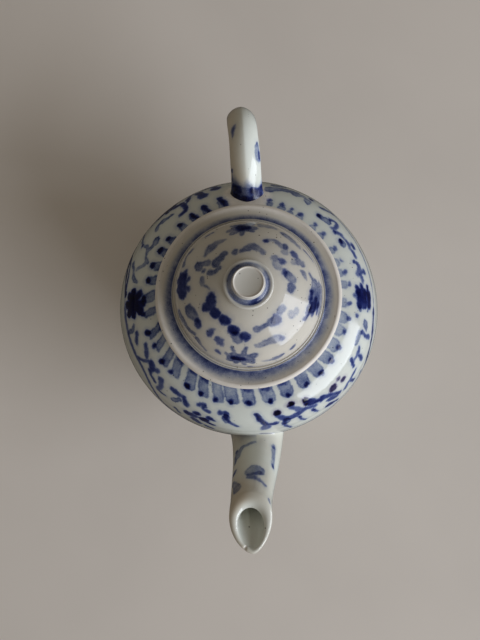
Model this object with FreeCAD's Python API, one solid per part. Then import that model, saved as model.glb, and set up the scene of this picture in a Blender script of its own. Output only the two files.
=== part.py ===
"""Small hand-made porcelain teapot with a lift-off domed lid.

The clay pieces are made apart and luted together: the thrown pot, its foot ring and neck collar, a hollow spout
and a rolled loop handle, and for the lid a thrown dome with a flange, a locating ring and a button knob.
Frame: millimetres, +Z up, origin on the table at the centre of the foot ring, spout to -Y, handle to +Y.
"""

import FreeCAD
import Part
import math
import os
from FreeCAD import Vector

# Pot body
BELLY_RADIUS = 58.8  # widest radius of the pot
BELLY_HEIGHT = 45.0  # height of the widest place above the table
SHOULDER_HEIGHT = 80.0  # height of the flat ring that carries the neck collar
POT_WALL = 4.0  # wall of the belly and shoulder
FLOOR_WALL = 4.5  # thickness of the pot's floor
MOUTH_RADIUS = 28.5  # bore of the neck

# Foot ring
FOOT_RADIUS = 31.0
FOOT_HEIGHT = 5.0
FOOT_WALL = 5.0
FOOT_TAPER = 1.2  # how much the ring draws in towards the table
FOOT_BEVEL = 0.8  # worn edge of the ring

# Neck collar
COLLAR_WALL = 5.0
COLLAR_HEIGHT = 3.5
COLLAR_ROUND = 1.0

# Lid
LID_CLEARANCE = 0.5  # radial play of the locating ring in the neck
LID_RING_WALL = 3.5
LID_RING_DEPTH = 7.0
LID_RING_BEVEL = 1.0
LID_WALL = 4.5  # wall at the foot of the dome
LID_CROWN_WALL = 4.5  # thickness under the knob
FLANGE_OVERHANG = 2.6  # how far the flange stands out past the collar
FLANGE_THICKNESS = 3.2
FLANGE_GROOVE = 0.7  # depth of the hollow between the rim and the dome
FLANGE_STEP = 0.9  # width and rise of the bead at the foot of the dome
DOME_RISE = 20.0  # height of the knob's seat above the foot of the dome

# Knob
KNOB_BASE_RADIUS = 8.7
KNOB_BASE_HEIGHT = 1.3
KNOB_FOOT_RADIUS = 7.5
KNOB_TOP_RADIUS = 5.7
KNOB_HEIGHT = 5.0
KNOB_RIM = 0.9  # width of the rim round the dished top
KNOB_DISH = 1.3  # depth of the dish

# Spout
SPOUT_ROOT_HEIGHT = 41.0  # height where the centre line meets the belly
SPOUT_ROOT_OFFSET = 4.2  # sideways place of the root, which was luted on a little out of line
SPOUT_ROOT_ANGLE = 26.0  # rise of the centre line at the root, in degrees
SPOUT_ROOT_RADIUS = 12.0
SPOUT_REACH = 27.0  # from the belly out to the centre of the mouth
SPOUT_MOUTH_DROP = 3.5  # how far the level mouth lies below the lid's seat
SPOUT_MOUTH_OFFSET = 0.9  # sideways place of the mouth
SPOUT_MOUTH_ANGLE = 52.0  # rise of the centre line at the mouth, in degrees
SPOUT_MOUTH_RADIUS = 7.9
SPOUT_BORE_DROP = 1.0  # how far the bore sits below the middle at the mouth, where the lip is thinner
SPOUT_MOUTH_WALL = 2.2
SPOUT_ROOT_WALL = 3.2
SPOUT_BEAK = 0.06  # how far the underside is drawn out at the mouth, as a share of its radius
SPOUT_PINCH = 0.6  # how sharply the underside is pinched to a beak at the mouth, where 0 is round

# Strainer, pierced through the pot's wall inside the spout's root
STRAINER_HOLES = 6  # holes in the ring round the middle one
STRAINER_RING_RADIUS = 5.6
STRAINER_HOLE_RADIUS = 2.1

# Handle
HANDLE_TOP_GAP = 9.5  # from the collar out to the middle of the upper root
HANDLE_TOP_ANGLE = 66.0  # rise of the loop at its upper root, in degrees
HANDLE_TOP_PULL = 25.0  # how far the loop keeps to that rise
HANDLE_REACH = 20.6  # from the belly out to the loop's centre line
HANDLE_OUT_HEIGHT = 62.0  # height of the loop's outermost place
HANDLE_RISE_PULL = 26.0  # how far the loop keeps upright above that place
HANDLE_DROP_SHARE = 0.58  # how far the loop keeps upright below it, as a share of the drop to the lower root
HANDLE_LOW_HEIGHT = 29.0  # height of the lower root
HANDLE_LOW_ANGLE = 30.0  # rise of the loop away from its lower root, in degrees
HANDLE_LOW_PULL = 17.0  # how far the loop keeps to that rise
HANDLE_SINK = 12.0  # how far the roots run into the pot before they are trimmed to it
HANDLE_WIDTH = 12.0
HANDLE_THICKNESS = 9.4
HANDLE_FLARE = 0.24  # how much the roots swell where they are luted on, as a share of the section
HANDLE_TOP_OFFSET = -1.2  # sideways place of the roots
HANDLE_OUT_OFFSET = -3.6  # sideways place of the loop's outer end

# How many sections carry the lofts, and points round each one
SPOUT_SECTIONS = 9
HANDLE_SECTIONS = 25
SECTION_POINTS = 16

# Sizes that follow from the ones above
COLLAR_RADIUS = MOUTH_RADIUS + COLLAR_WALL
SEAT_HEIGHT = SHOULDER_HEIGHT + COLLAR_HEIGHT
RING_RADIUS = MOUTH_RADIUS - LID_CLEARANCE
RING_BORE = RING_RADIUS - LID_RING_WALL
DOME_RADIUS = RING_BORE + LID_WALL
FLANGE_RADIUS = COLLAR_RADIUS + FLANGE_OVERHANG
DOME_FOOT_HEIGHT = SEAT_HEIGHT + FLANGE_THICKNESS
KNOB_SEAT_HEIGHT = DOME_FOOT_HEIGHT + DOME_RISE
SPOUT_MOUTH_HEIGHT = SEAT_HEIGHT - SPOUT_MOUTH_DROP
HANDLE_TOP_RADIUS = COLLAR_RADIUS + HANDLE_TOP_GAP
UP = Vector(0, 0, 1)


def half_height(radius, edge_radius, edge_rise):
    """Semi-axis of an ellipse of the given radius that has risen by edge_rise at edge_radius."""
    return edge_rise / math.sqrt(1 - (edge_radius / radius) ** 2)


SHOULDER_SEMI = half_height(BELLY_RADIUS, COLLAR_RADIUS, SHOULDER_HEIGHT - BELLY_HEIGHT)
BASE_SEMI = half_height(BELLY_RADIUS, FOOT_RADIUS, BELLY_HEIGHT - FOOT_HEIGHT)


def point(radius, height):
    """Point of a turned profile in the XZ plane."""
    return Vector(radius, 0, height)


def line(start, end):
    """Straight edge of a turned profile between two (radius, height) pairs."""
    return Part.LineSegment(point(*start), point(*end)).toShape()


def ellipse_arc(centre_height, radius, semi, start, end):
    """Edge along an ellipse centred on the axis, between two angles up from the horizontal.

    A rational curve of three poles draws it exactly: the middle pole is where the end tangents meet.
    """
    half = (end - start) / 2
    poles = []
    for angle, stretch in ((start, 1), (start + half, 1 / math.cos(half)), (end, 1)):
        across = radius * math.cos(angle) * stretch
        up = semi * math.sin(angle) * stretch
        poles.append(point(across, centre_height + up))
    curve = Part.BSplineCurve()
    curve.buildFromPolesMultsKnots(poles, [3, 3], [0, 1], False, 2, [1, math.cos(half), 1])
    return curve.toShape()


def turned(edges):
    """Solid made by turning a closed profile round the pot's axis."""
    face = Part.Face(Part.Wire(Part.__sortEdges__(edges)))
    return face.revolve(Vector(0, 0, 0), UP, 360)


def turned_polygon(corners):
    """Solid made by turning a closed profile of straight edges."""
    return turned([line(a, b) for a, b in zip(corners, corners[1:] + corners[:1])])


def shoulder_height(radius):
    """Height of the pot's outside above the belly, at a distance from the axis."""
    return BELLY_HEIGHT + SHOULDER_SEMI * math.sqrt(1 - (radius / BELLY_RADIUS) ** 2)


def wall_radius(height):
    """Radius of the pot's outside at a height."""
    semi = SHOULDER_SEMI if height > BELLY_HEIGHT else BASE_SEMI
    return BELLY_RADIUS * math.sqrt(1 - ((height - BELLY_HEIGHT) / semi) ** 2)


def globe(inset, low, high):
    """Solid pot shape inside two half ellipses that meet at the belly, drawn in by inset, between two heights."""
    radius = BELLY_RADIUS - inset
    base_semi = BASE_SEMI - inset
    shoulder_semi = SHOULDER_SEMI - inset
    low_angle = math.asin((low - BELLY_HEIGHT) / base_semi)
    high_angle = math.asin((high - BELLY_HEIGHT) / shoulder_semi)
    low_radius = radius * math.cos(low_angle)
    high_radius = radius * math.cos(high_angle)
    return turned(
        [
            line((0, low), (low_radius, low)),
            ellipse_arc(BELLY_HEIGHT, radius, base_semi, low_angle, 0),
            ellipse_arc(BELLY_HEIGHT, radius, shoulder_semi, 0, high_angle),
            line((high_radius, high), (0, high)),
            line((0, high), (0, low)),
        ]
    )


def pot_outside():
    """Solid bounded by the pot's outside, which also trims the roots of the spout and handle."""
    return globe(0, FOOT_HEIGHT, SHOULDER_HEIGHT)


def strainer():
    """Round pegs that pierce the strainer: one in the middle and a ring round it, along the spout's heading."""
    reach = BELLY_RADIUS
    centres = [(0, 0)]
    for k in range(STRAINER_HOLES):
        angle = 2 * math.pi * k / STRAINER_HOLES
        centres.append((STRAINER_RING_RADIUS * math.cos(angle), STRAINER_RING_RADIUS * math.sin(angle)))
    pegs = []
    for across, up in centres:
        start = Vector(SPOUT_ROOT_OFFSET + across, -reach / 2, SPOUT_ROOT_HEIGHT + up)
        pegs.append(Part.makeCylinder(STRAINER_HOLE_RADIUS, reach, start, Vector(0, -1, 0)))
    return pegs


def pot_body():
    """Thrown pot: a hollow globe, open at the neck and pierced behind the spout."""
    cavity = globe(POT_WALL, FOOT_HEIGHT + FLOOR_WALL, SHOULDER_HEIGHT - POT_WALL)
    mouth = Part.makeCylinder(MOUTH_RADIUS, SHOULDER_HEIGHT, Vector(0, 0, BELLY_HEIGHT))
    return pot_outside().cut([cavity, mouth, *strainer()])


def foot_ring():
    """Turned ring that the pot stands on, tapered and worn at the edge."""
    outer = FOOT_RADIUS - FOOT_TAPER
    inner = FOOT_RADIUS - FOOT_WALL
    return turned_polygon(
        [
            (inner, FOOT_HEIGHT),
            (FOOT_RADIUS, FOOT_HEIGHT),
            (outer, FOOT_BEVEL),
            (outer - FOOT_BEVEL, 0),
            (inner + FOOT_BEVEL, 0),
            (inner, FOOT_BEVEL),
        ]
    )


def neck_collar():
    """Low upright ring round the neck, whose flat top is the lid's seat."""
    return turned_polygon(
        [
            (MOUTH_RADIUS, SHOULDER_HEIGHT),
            (COLLAR_RADIUS, SHOULDER_HEIGHT),
            (COLLAR_RADIUS, SEAT_HEIGHT - COLLAR_ROUND),
            (COLLAR_RADIUS - COLLAR_ROUND, SEAT_HEIGHT),
            (MOUTH_RADIUS, SEAT_HEIGHT),
        ]
    )


def three_point_arc(start, middle, end):
    """Round edge of a turned profile through three (radius, height) pairs."""
    return Part.Arc(point(*start), point(*middle), point(*end)).toShape()


def lid_dome():
    """Thrown lid: a hollow dome on a flat flange with a round rim, a shallow groove and a bead at its foot."""
    rim = FLANGE_THICKNESS / 2
    rim_centre = FLANGE_RADIUS - rim
    bead_radius = DOME_RADIUS + FLANGE_STEP
    groove_middle = (rim_centre + bead_radius) / 2
    dome_semi = half_height(DOME_RADIUS, KNOB_BASE_RADIUS, DOME_RISE)
    seat_angle = math.acos(KNOB_BASE_RADIUS / DOME_RADIUS)
    dome_foot = DOME_FOOT_HEIGHT + FLANGE_STEP
    outside = turned(
        [
            line((0, SEAT_HEIGHT), (rim_centre, SEAT_HEIGHT)),
            three_point_arc(
                (rim_centre, SEAT_HEIGHT), (FLANGE_RADIUS, SEAT_HEIGHT + rim), (rim_centre, DOME_FOOT_HEIGHT)
            ),
            three_point_arc(
                (rim_centre, DOME_FOOT_HEIGHT),
                (groove_middle, DOME_FOOT_HEIGHT - FLANGE_GROOVE),
                (bead_radius, DOME_FOOT_HEIGHT),
            ),
            line((bead_radius, DOME_FOOT_HEIGHT), (DOME_RADIUS, dome_foot)),
            ellipse_arc(dome_foot, DOME_RADIUS, dome_semi, 0, seat_angle),
            line((KNOB_BASE_RADIUS, dome_foot + DOME_RISE), (0, dome_foot + DOME_RISE)),
            line((0, dome_foot + DOME_RISE), (0, SEAT_HEIGHT)),
        ]
    )
    inner_semi = dome_foot + DOME_RISE - LID_CROWN_WALL - DOME_FOOT_HEIGHT
    inside = turned(
        [
            line((0, SEAT_HEIGHT), (RING_BORE, SEAT_HEIGHT)),
            line((RING_BORE, SEAT_HEIGHT), (RING_BORE, DOME_FOOT_HEIGHT)),
            ellipse_arc(DOME_FOOT_HEIGHT, RING_BORE, inner_semi, 0, math.pi / 2),
            line((0, DOME_FOOT_HEIGHT + inner_semi), (0, SEAT_HEIGHT)),
        ]
    )
    return outside.cut(inside)


def lid_locating_ring():
    """Ring under the lid that drops into the neck and keeps the lid in place."""
    low = SEAT_HEIGHT - LID_RING_DEPTH
    return turned_polygon(
        [
            (RING_BORE, SEAT_HEIGHT),
            (RING_RADIUS, SEAT_HEIGHT),
            (RING_RADIUS, low + LID_RING_BEVEL),
            (RING_RADIUS - LID_RING_BEVEL, low),
            (RING_BORE, low),
        ]
    )


def lid_knob():
    """Button knob: a low base ring, a waist that tapers upwards and a dished top."""
    seat = KNOB_SEAT_HEIGHT + FLANGE_STEP
    top = seat + KNOB_HEIGHT
    base_top = seat + KNOB_BASE_HEIGHT
    base_bulge = (KNOB_BASE_RADIUS, seat + KNOB_BASE_HEIGHT / 2)
    inset = KNOB_BASE_HEIGHT / 2
    dish_radius = KNOB_TOP_RADIUS - KNOB_RIM
    rim_middle = (KNOB_TOP_RADIUS - KNOB_RIM / 2, top)
    rim_low = top - KNOB_RIM / 2
    ball = (dish_radius**2 + KNOB_DISH**2) / (2 * KNOB_DISH)
    half_angle = math.asin(dish_radius / ball) / 2
    dish_low = rim_low - KNOB_DISH
    dish_middle = (ball * math.sin(half_angle), dish_low + ball * (1 - math.cos(half_angle)))
    return turned(
        [
            line((0, seat), (KNOB_BASE_RADIUS - inset, seat)),
            three_point_arc((KNOB_BASE_RADIUS - inset, seat), base_bulge, (KNOB_BASE_RADIUS - inset, base_top)),
            line((KNOB_BASE_RADIUS - inset, base_top), (KNOB_FOOT_RADIUS, base_top)),
            line((KNOB_FOOT_RADIUS, base_top), (KNOB_TOP_RADIUS, rim_low)),
            three_point_arc((KNOB_TOP_RADIUS, rim_low), rim_middle, (dish_radius, rim_low)),
            three_point_arc((dish_radius, rim_low), dish_middle, (0, dish_low)),
            line((0, dish_low), (0, seat)),
        ]
    )


def bezier(poles, share):
    """Point of a cubic curve with four poles, and its heading, at a share of its length."""
    rest = 1 - share
    place = poles[0] * rest**3 + poles[1] * (3 * rest**2 * share)
    place = place + poles[2] * (3 * rest * share**2) + poles[3] * share**3
    heading = (poles[1] - poles[0]) * rest**2 + (poles[2] - poles[1]) * (2 * rest * share)
    heading = heading + (poles[3] - poles[2]) * share**2
    return place, heading.normalize()


def spout_section(place, heading, radius, beak, pinch):
    """Closed section square to a heading: round above, drawn out and pinched to a beak below."""
    across = heading.cross(UP).normalize()
    up = across.cross(heading)
    points = []
    for k in range(SECTION_POINTS):
        angle = 2 * math.pi * k / SECTION_POINTS
        side = math.cos(angle)
        rise = math.sin(angle)
        if rise < 0:
            side = math.copysign(abs(side) ** (1 + pinch), side)
            rise = rise * (1 + beak)
        points.append(place + across * (radius * side) + up * (radius * rise))
    return closed_curve(points)


def closed_curve(points):
    """Closed smooth wire through points."""
    curve = Part.BSplineCurve()
    curve.interpolate(points, PeriodicFlag=True)
    return Part.Wire(curve.toShape())


def smooth_loft(sections):
    """Solid through closed sections, of cubic surfaces that don't swing out between them."""
    return Part.makeLoft(sections, True, False, False, 3)


def spout_poles():
    """Poles of the spout's centre line, from the belly's wall to the centre of its mouth."""
    root = Vector(SPOUT_ROOT_OFFSET, -wall_radius(SPOUT_ROOT_HEIGHT), SPOUT_ROOT_HEIGHT)
    mouth = Vector(SPOUT_MOUTH_OFFSET, -BELLY_RADIUS - SPOUT_REACH, SPOUT_MOUTH_HEIGHT)
    reach = (mouth - root).Length / 3
    poles = [root]
    for end, degrees, side in ((root, SPOUT_ROOT_ANGLE, 1), (mouth, SPOUT_MOUTH_ANGLE, -1)):
        angle = math.radians(degrees)
        poles.append(end + Vector(0, -math.cos(angle), math.sin(angle)) * (reach * side))
    poles.append(mouth)
    return poles


def spout_loft(root_radius, mouth_radius, drop):
    """Solid tube along the spout, which runs on into the pot and past the mouth so that both can be trimmed."""
    poles = spout_poles()
    before = SPOUT_ROOT_RADIUS / (poles[3] - poles[0]).Length
    beyond = 2 * SPOUT_MOUTH_RADIUS / (poles[3] - poles[0]).Length
    sections = []
    for k in range(SPOUT_SECTIONS):
        share = -before + (1 + before + beyond) * k / (SPOUT_SECTIONS - 1)
        place, heading = bezier(poles, share)
        along = min(max(share, 0), 1)
        radius = mouth_radius + (root_radius - mouth_radius) * (1 - along) ** 1.5
        below = heading.cross(UP).cross(heading).normalize() * (-drop * along)
        sections.append(spout_section(place + below, heading, radius, SPOUT_BEAK * along, SPOUT_PINCH * along))
    return smooth_loft(sections)


def spout():
    """Hollow tapered spout, trimmed to the belly at its root and cut level at its mouth."""
    outside = spout_loft(SPOUT_ROOT_RADIUS, SPOUT_MOUTH_RADIUS, 0)
    bore_root = SPOUT_ROOT_RADIUS - SPOUT_ROOT_WALL
    bore_mouth = SPOUT_MOUTH_RADIUS - SPOUT_MOUTH_WALL
    bore = spout_loft(bore_root, bore_mouth, SPOUT_BORE_DROP)
    size = 4 * BELLY_RADIUS
    above = Part.makeBox(size, size, size, Vector(-size / 2, -size, SPOUT_MOUTH_HEIGHT))
    return outside.cut([bore, pot_outside(), above])


def slanted(offset, radius, height, degrees, length):
    """Point at a length away from a place on the handle's side, outwards and up at an angle."""
    angle = math.radians(degrees)
    return Vector(offset, radius + length * math.cos(angle), height + length * math.sin(angle))


def handle_poles():
    """Poles of the loop's two halves: upper root to outermost place, and outermost place to lower root."""
    top = (HANDLE_TOP_OFFSET, HANDLE_TOP_RADIUS, shoulder_height(HANDLE_TOP_RADIUS), HANDLE_TOP_ANGLE)
    low = (HANDLE_TOP_OFFSET, wall_radius(HANDLE_LOW_HEIGHT), HANDLE_LOW_HEIGHT, HANDLE_LOW_ANGLE)
    out = Vector(HANDLE_OUT_OFFSET, BELLY_RADIUS + HANDLE_REACH, HANDLE_OUT_HEIGHT)
    above = out + UP * HANDLE_RISE_PULL
    below = out - UP * (HANDLE_DROP_SHARE * (HANDLE_OUT_HEIGHT - HANDLE_LOW_HEIGHT))
    upper = [slanted(*top, -HANDLE_SINK), slanted(*top, HANDLE_TOP_PULL), above, out]
    lower = [out, below, slanted(*low, HANDLE_LOW_PULL), slanted(*low, -HANDLE_SINK)]
    return upper, lower


def handle():
    """Rolled loop of oval section with swollen roots, trimmed to the pot's outside."""
    halves = handle_poles()
    sections = []
    for k in range(HANDLE_SECTIONS):
        share = 2 * k / (HANDLE_SECTIONS - 1)
        half = int(share > 1)
        place, heading = bezier(halves[half], share - half)
        swell = 1 + HANDLE_FLARE * (share - 1) ** 8
        sections.append(handle_section(place, heading, swell))
    return smooth_loft(sections).cut(pot_outside())


def handle_section(place, heading, swell):
    """Oval section of the handle, wide across the loop's plane, square to its heading."""
    side = Vector(1, 0, 0)
    up = side.cross(heading).normalize()
    across = heading.cross(up).normalize()
    points = []
    for k in range(SECTION_POINTS):
        angle = 2 * math.pi * k / SECTION_POINTS
        offset = across * (HANDLE_WIDTH / 2 * swell * math.cos(angle))
        offset = offset + up * (HANDLE_THICKNESS / 2 * swell * math.sin(angle))
        points.append(place + offset)
    return closed_curve(points)


PIECES = {
    "pot_body": pot_body,
    "foot_ring": foot_ring,
    "neck_collar": neck_collar,
    "spout": spout,
    "handle": handle,
    "lid_dome": lid_dome,
    "lid_locating_ring": lid_locating_ring,
    "lid_knob": lid_knob,
}


def main():
    """Builds every piece and writes it to its own file."""
    os.makedirs("parts", exist_ok=True)
    for name, make in PIECES.items():
        shape = make()
        print(name, len(shape.Solids), "solid", round(shape.Volume), "mm3", "valid" if shape.isValid() else "broken")
        shape.exportStep(os.path.join("parts", name + ".step"))


main()
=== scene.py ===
"""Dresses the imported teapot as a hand-painted porcelain pot with its lid, on a pale table by a window.

Every piece is a surface worked out with numpy in millimetres and stands for the CAD node of the same place.
The blue brushwork is painted on each piece's own unrolled surface: every point gets its distance in
millimetres to the nearest brush stroke and that stroke's strength, and the glaze turns both into colour.
"""

import math

import bpy
import numpy as np
from bpy.props import FloatProperty, FloatVectorProperty, IntProperty, PointerProperty
from mathutils import Matrix, Vector


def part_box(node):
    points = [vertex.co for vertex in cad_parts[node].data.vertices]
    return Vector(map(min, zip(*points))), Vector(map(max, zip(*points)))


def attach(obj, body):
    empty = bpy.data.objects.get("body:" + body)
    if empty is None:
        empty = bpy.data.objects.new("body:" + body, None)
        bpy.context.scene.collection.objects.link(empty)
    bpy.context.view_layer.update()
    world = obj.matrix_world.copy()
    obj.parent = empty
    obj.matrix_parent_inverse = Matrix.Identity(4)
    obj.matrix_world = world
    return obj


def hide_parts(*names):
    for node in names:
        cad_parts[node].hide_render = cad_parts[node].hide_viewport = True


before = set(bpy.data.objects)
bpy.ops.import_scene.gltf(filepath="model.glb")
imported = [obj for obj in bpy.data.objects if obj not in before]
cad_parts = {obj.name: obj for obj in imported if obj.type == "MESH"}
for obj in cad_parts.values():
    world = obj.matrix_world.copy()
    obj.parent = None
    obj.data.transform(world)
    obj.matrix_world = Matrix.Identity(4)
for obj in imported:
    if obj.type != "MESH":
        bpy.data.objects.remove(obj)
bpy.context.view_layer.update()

bl_info = {
    "name": "Painted Teapot",
    "version": (1, 0, 0),
    "blender": (4, 5, 0),
    "location": "View3D > Sidebar > Teapot",
    "description": "Builds a hand-painted porcelain teapot round its packed solids",
    "category": "Add Mesh",
}

_, POT_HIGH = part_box("pot_body")
_, FOOT_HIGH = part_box("foot_ring")
_, COLLAR_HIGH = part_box("neck_collar")
_, SPOUT_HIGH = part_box("spout")
_, LID_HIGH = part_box("lid_dome")
RING_LOW, RING_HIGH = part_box("lid_locating_ring")
_, KNOB_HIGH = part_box("lid_knob")

# Lengths are in millimetres and angles in degrees, unless the line itself says otherwise.
MM = 0.001  # in metres
UP = np.array([0.0, 0.0, 1.0])
FAR = 9.0  # distance that stands for bare glaze
HIDDEN = -200.0  # height that keeps a point out of the brush's reach
PALE = 0.5  # strength under which a stroke is wash, and from which it is ink
RING_WALL = 3.5  # thickness of the lid's locating ring
STRAINER_RING = 5.6  # radius of the ring that the strainer's outer holes lie on
STRAINER_HOLE = 2.1  # radius of each hole
SPOUT_SIDE = 4.2  # how far right of the middle the spout leaves the belly
SPOUT_HEIGHT = 41.0  # height at which it does
SPOUT_RISES = (26, 52)  # slope of its centre line at the root and at the mouth
SPOUT_MOUTH = (0.9, 27.0)  # how far its mouth is right of the middle and beyond the belly
SPOUT_LIP = 1.1  # height of the lip's round
SPOUT_SUNK = -1.2  # depth to which the spout's root goes into the pot's wall
HANDLE_SIDES = (-0.4, -3.6, -1.2)  # upper root, outermost place and lower root, right of the middle
HANDLE_RISES = (66, 30)  # slope of its centre line at the upper and the lower root
HANDLE_HEIGHTS = (62.0, 29.0)  # height of its outermost place and lower root
HANDLE_REACH = 20.6  # how far it stands out from the belly
HANDLE_GIRTH = 5.6  # mean radius that unrolls its surface
HANDLE_ROOT = 9.5  # how far its upper root is out from the collar
HANDLE_SUNK = -1.4  # depth to which its roots go into the pot's wall
KNOB_RING = 0.75  # radius of the knob's round base ring
CROWN_WALL = 4.5  # thickness of the lid at its crown
# Each bead's radius, and how far its middle is out from the dome's foot and above the flange.
LID_BEADS = ((0.5, 0.35, 0.55), (0.42, 1.25, 0.1))
LID_WARMTH = (0.96, 0.9, 0.82)  # share of each channel that the lid's warmer glaze keeps
CAMERA_TILT = math.radians(5.97)
CAMERA_SIDE = math.atan2(8.3, 490.0)
WINDOW_AZIMUTH = math.radians(-31)
WINDOW_RISE = math.radians(20)
WINDOW_COLOUR = (0.94, 1.0, 1.11)
COLUMNS = {"ring": 320, "spout": 168, "handle": 108, "lid": 480, "knob": 240}  # points round each piece
GLAZE_INDEX = 1.42  # refractive index of the glaze
LID_INDEX = 1.38  # and of the softer one on the lid and its knob
GLOSSY_ROOM = 0.35  # share of the room's light that reflections see
GLOSSY_TABLE = 0.16  # share of the table's colour that they see


def number(name, description, default, low=0.0, **more):
    """Property for a number that is never under low."""
    return FloatProperty(name=name, description=description, default=default, min=low, **more)


def length(name, description, default):
    """Property for a length in metres."""
    return number(name, description, default, precision=4, unit="LENGTH")


def colour(name, description, default):
    """Property for a linear colour."""
    return FloatVectorProperty(
        name=name, description=description, default=default, size=3, min=0.0, max=1.0, subtype="COLOR"
    )


class TeapotSizes(bpy.types.PropertyGroup):
    """Sizes of the pot, its lid, spout and handle."""

    belly_radius: length("Belly radius", "Widest radius of the pot", POT_HIGH.x)
    belly_height: length("Belly height", "Height of the widest place", 0.045)
    shoulder_height: length("Shoulder height", "Height where the collar stands", POT_HIGH.z)
    wall: length("Wall", "Thickness of the pot's wall", 0.004)
    mouth_radius: length("Mouth radius", "Bore of the neck", 0.0285)
    foot_radius: length("Foot radius", "Outside of the foot ring at its root", FOOT_HIGH.x)
    foot_height: length("Foot height", "Height of the foot ring", FOOT_HIGH.z)
    foot_wall: length("Foot wall", "Width of the foot ring", 0.005)
    collar_radius: length("Collar radius", "Outside of the neck collar", COLLAR_HIGH.x)
    seat_height: length("Seat height", "Height of the lid's seat", COLLAR_HIGH.z)
    flange_radius: length("Flange radius", "Outside of the lid's rim", LID_HIGH.x)
    flange_thickness: length("Flange thickness", "Thickness of the lid's rim", 0.0032)
    dome_radius: length("Dome radius", "Radius at the foot of the dome", 0.028)
    crown_height: length("Crown height", "Height of the knob's seat", LID_HIGH.z)
    ring_radius: length("Locating ring radius", "Outside of the ring under the lid", RING_HIGH.x)
    ring_low: length("Locating ring bottom", "Height of the ring's lower edge", RING_LOW.z)
    knob_radius: length("Knob base radius", "Outside of the knob's base ring", KNOB_HIGH.x)
    knob_top_radius: length("Knob top radius", "Outside of the knob's dished top", 0.0057)
    knob_top: length("Knob top", "Height of the knob's rim", KNOB_HIGH.z)
    spout_root: length("Spout root radius", "Outside of the spout at the belly", 0.012)
    spout_mouth: length("Spout mouth radius", "Outside of the spout at its mouth", 0.0079)
    spout_level: length("Spout level", "Height of the level mouth", SPOUT_HIGH.z)
    handle_width: length("Handle width", "Width of the loop across its plane", 0.012)
    handle_thickness: length("Handle thickness", "Thickness of the loop in its plane", 0.0094)


class TeapotColours(bpy.types.PropertyGroup):
    """Colours of the glaze, the bare clay and the brushwork."""

    pot_glaze: colour("Pot glaze", "Cool greenish white of the pot", (0.63, 0.65, 0.585))
    lid_glaze: colour("Lid glaze", "Warmer grey white of the lid", (0.585, 0.565, 0.505))
    bare_clay: colour("Bare clay", "Fired clay where the glaze is wiped off", (0.75, 0.69, 0.61))
    cobalt: colour("Cobalt", "What is left of white light under a full brush of blue", (0.012, 0.021, 0.155))
    thin_cobalt: colour("Thin cobalt", "The same under a watery wash, which is greyer", (0.018, 0.03, 0.145))
    berry: colour("Berry", "The same for the purple black berries", (0.022, 0.0135, 0.04))
    speck: colour("Speck", "Iron specks in the glaze", (0.045, 0.035, 0.03))
    table: colour("Table", "Pale table top", (0.746, 0.68, 0.605))


class TeapotStage(bpy.types.PropertyGroup):
    """Camera, window light and room light."""

    camera_height: length("Camera height", "Height of the camera above the table", 0.2723)
    camera_back: length("Camera back", "How far the camera stands towards the spout", 0.0294)
    lens: number("Lens", "Focal length in mm", 27.5625, 1.0)
    window_power: number("Window power", "Power of the window light", 48.5)
    window_width: length("Window width", "Width of the window light", 2.0)
    window_height: length("Window height", "Height of the window light", 1.14)
    window_distance: length("Window distance", "How far the window is from the pot", 2.1)
    room_light: colour("Room light", "Soft light from all round", (0.21, 0.192, 0.168))
    columns: IntProperty(name="Columns", description="Points round the pot", default=500, min=64, max=508)


def sizes():
    """The sizes in use, in millimetres by name."""
    group = bpy.context.scene.teapot_sizes
    return {name: getattr(group, name) / MM for name in TeapotSizes.__annotations__}


def tinted(tone, *shares):
    """A colour times one share, or times a share for each channel."""
    return tuple(np.multiply(tuple(tone), shares))


# Surfaces


def circle(columns):
    """Equally spaced angles, once round."""
    return np.arange(columns) * (2 * math.pi / columns)


def bell(value, middle, width):
    """1 at the middle, falling off on both sides as exp(-x^2) with x in widths."""
    return np.exp(-(((value - middle) / width) ** 2))


def smooth_share(value, start, end):
    """0 before start, 1 after end and a smooth step between them."""
    t = np.clip((np.asarray(value, float) - start) / (end - start), 0, 1)
    return t * t * (3 - 2 * t)


def sloped(rise):
    """Unit heading that rises by an angle towards the handle, or past 90 degrees towards the spout."""
    return np.array([0, math.cos(math.radians(rise)), math.sin(math.radians(rise))])


def semi_axis(radius, edge_radius, edge_rise):
    """Semi-axis of an ellipse of that radius that has risen by edge_rise at edge_radius."""
    return edge_rise / math.sqrt(1 - (edge_radius / radius) ** 2)


def ellipse(centre, radius, semi, start, end, count):
    """Profile points r = radius cos t, z = centre + semi sin t, between two angles t in radians."""
    t = np.linspace(start, end, count)
    return np.column_stack([radius * np.cos(t), centre + semi * np.sin(t)])


def rounded(corners, rounds, closed=True, count=9):
    """Profile through corners, each cut back by its round and bridged by a curve that has it as its pole."""
    corners = np.asarray(corners, float)
    rounds = np.asarray(rounds, float)[:, None]
    before = np.roll(corners, 1, axis=0) - corners
    after = np.roll(corners, -1, axis=0) - corners
    for side in (before, after):
        side *= np.minimum(rounds / np.linalg.norm(side, axis=1, keepdims=True), 0.49)
    t = np.linspace(0, 1, count)[None, :, None]
    curve = corners[:, None] + before[:, None] * (1 - t) ** 2 + after[:, None] * t**2
    if closed:
        return curve.reshape(-1, 2)
    return np.vstack([corners[:1], curve[1:-1].reshape(-1, 2), corners[-1:]])


def reach_along(path):
    """Distance along a path to each of its points."""
    return np.concatenate([[0], np.cumsum(np.linalg.norm(np.diff(path, axis=0), axis=1))])


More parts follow.
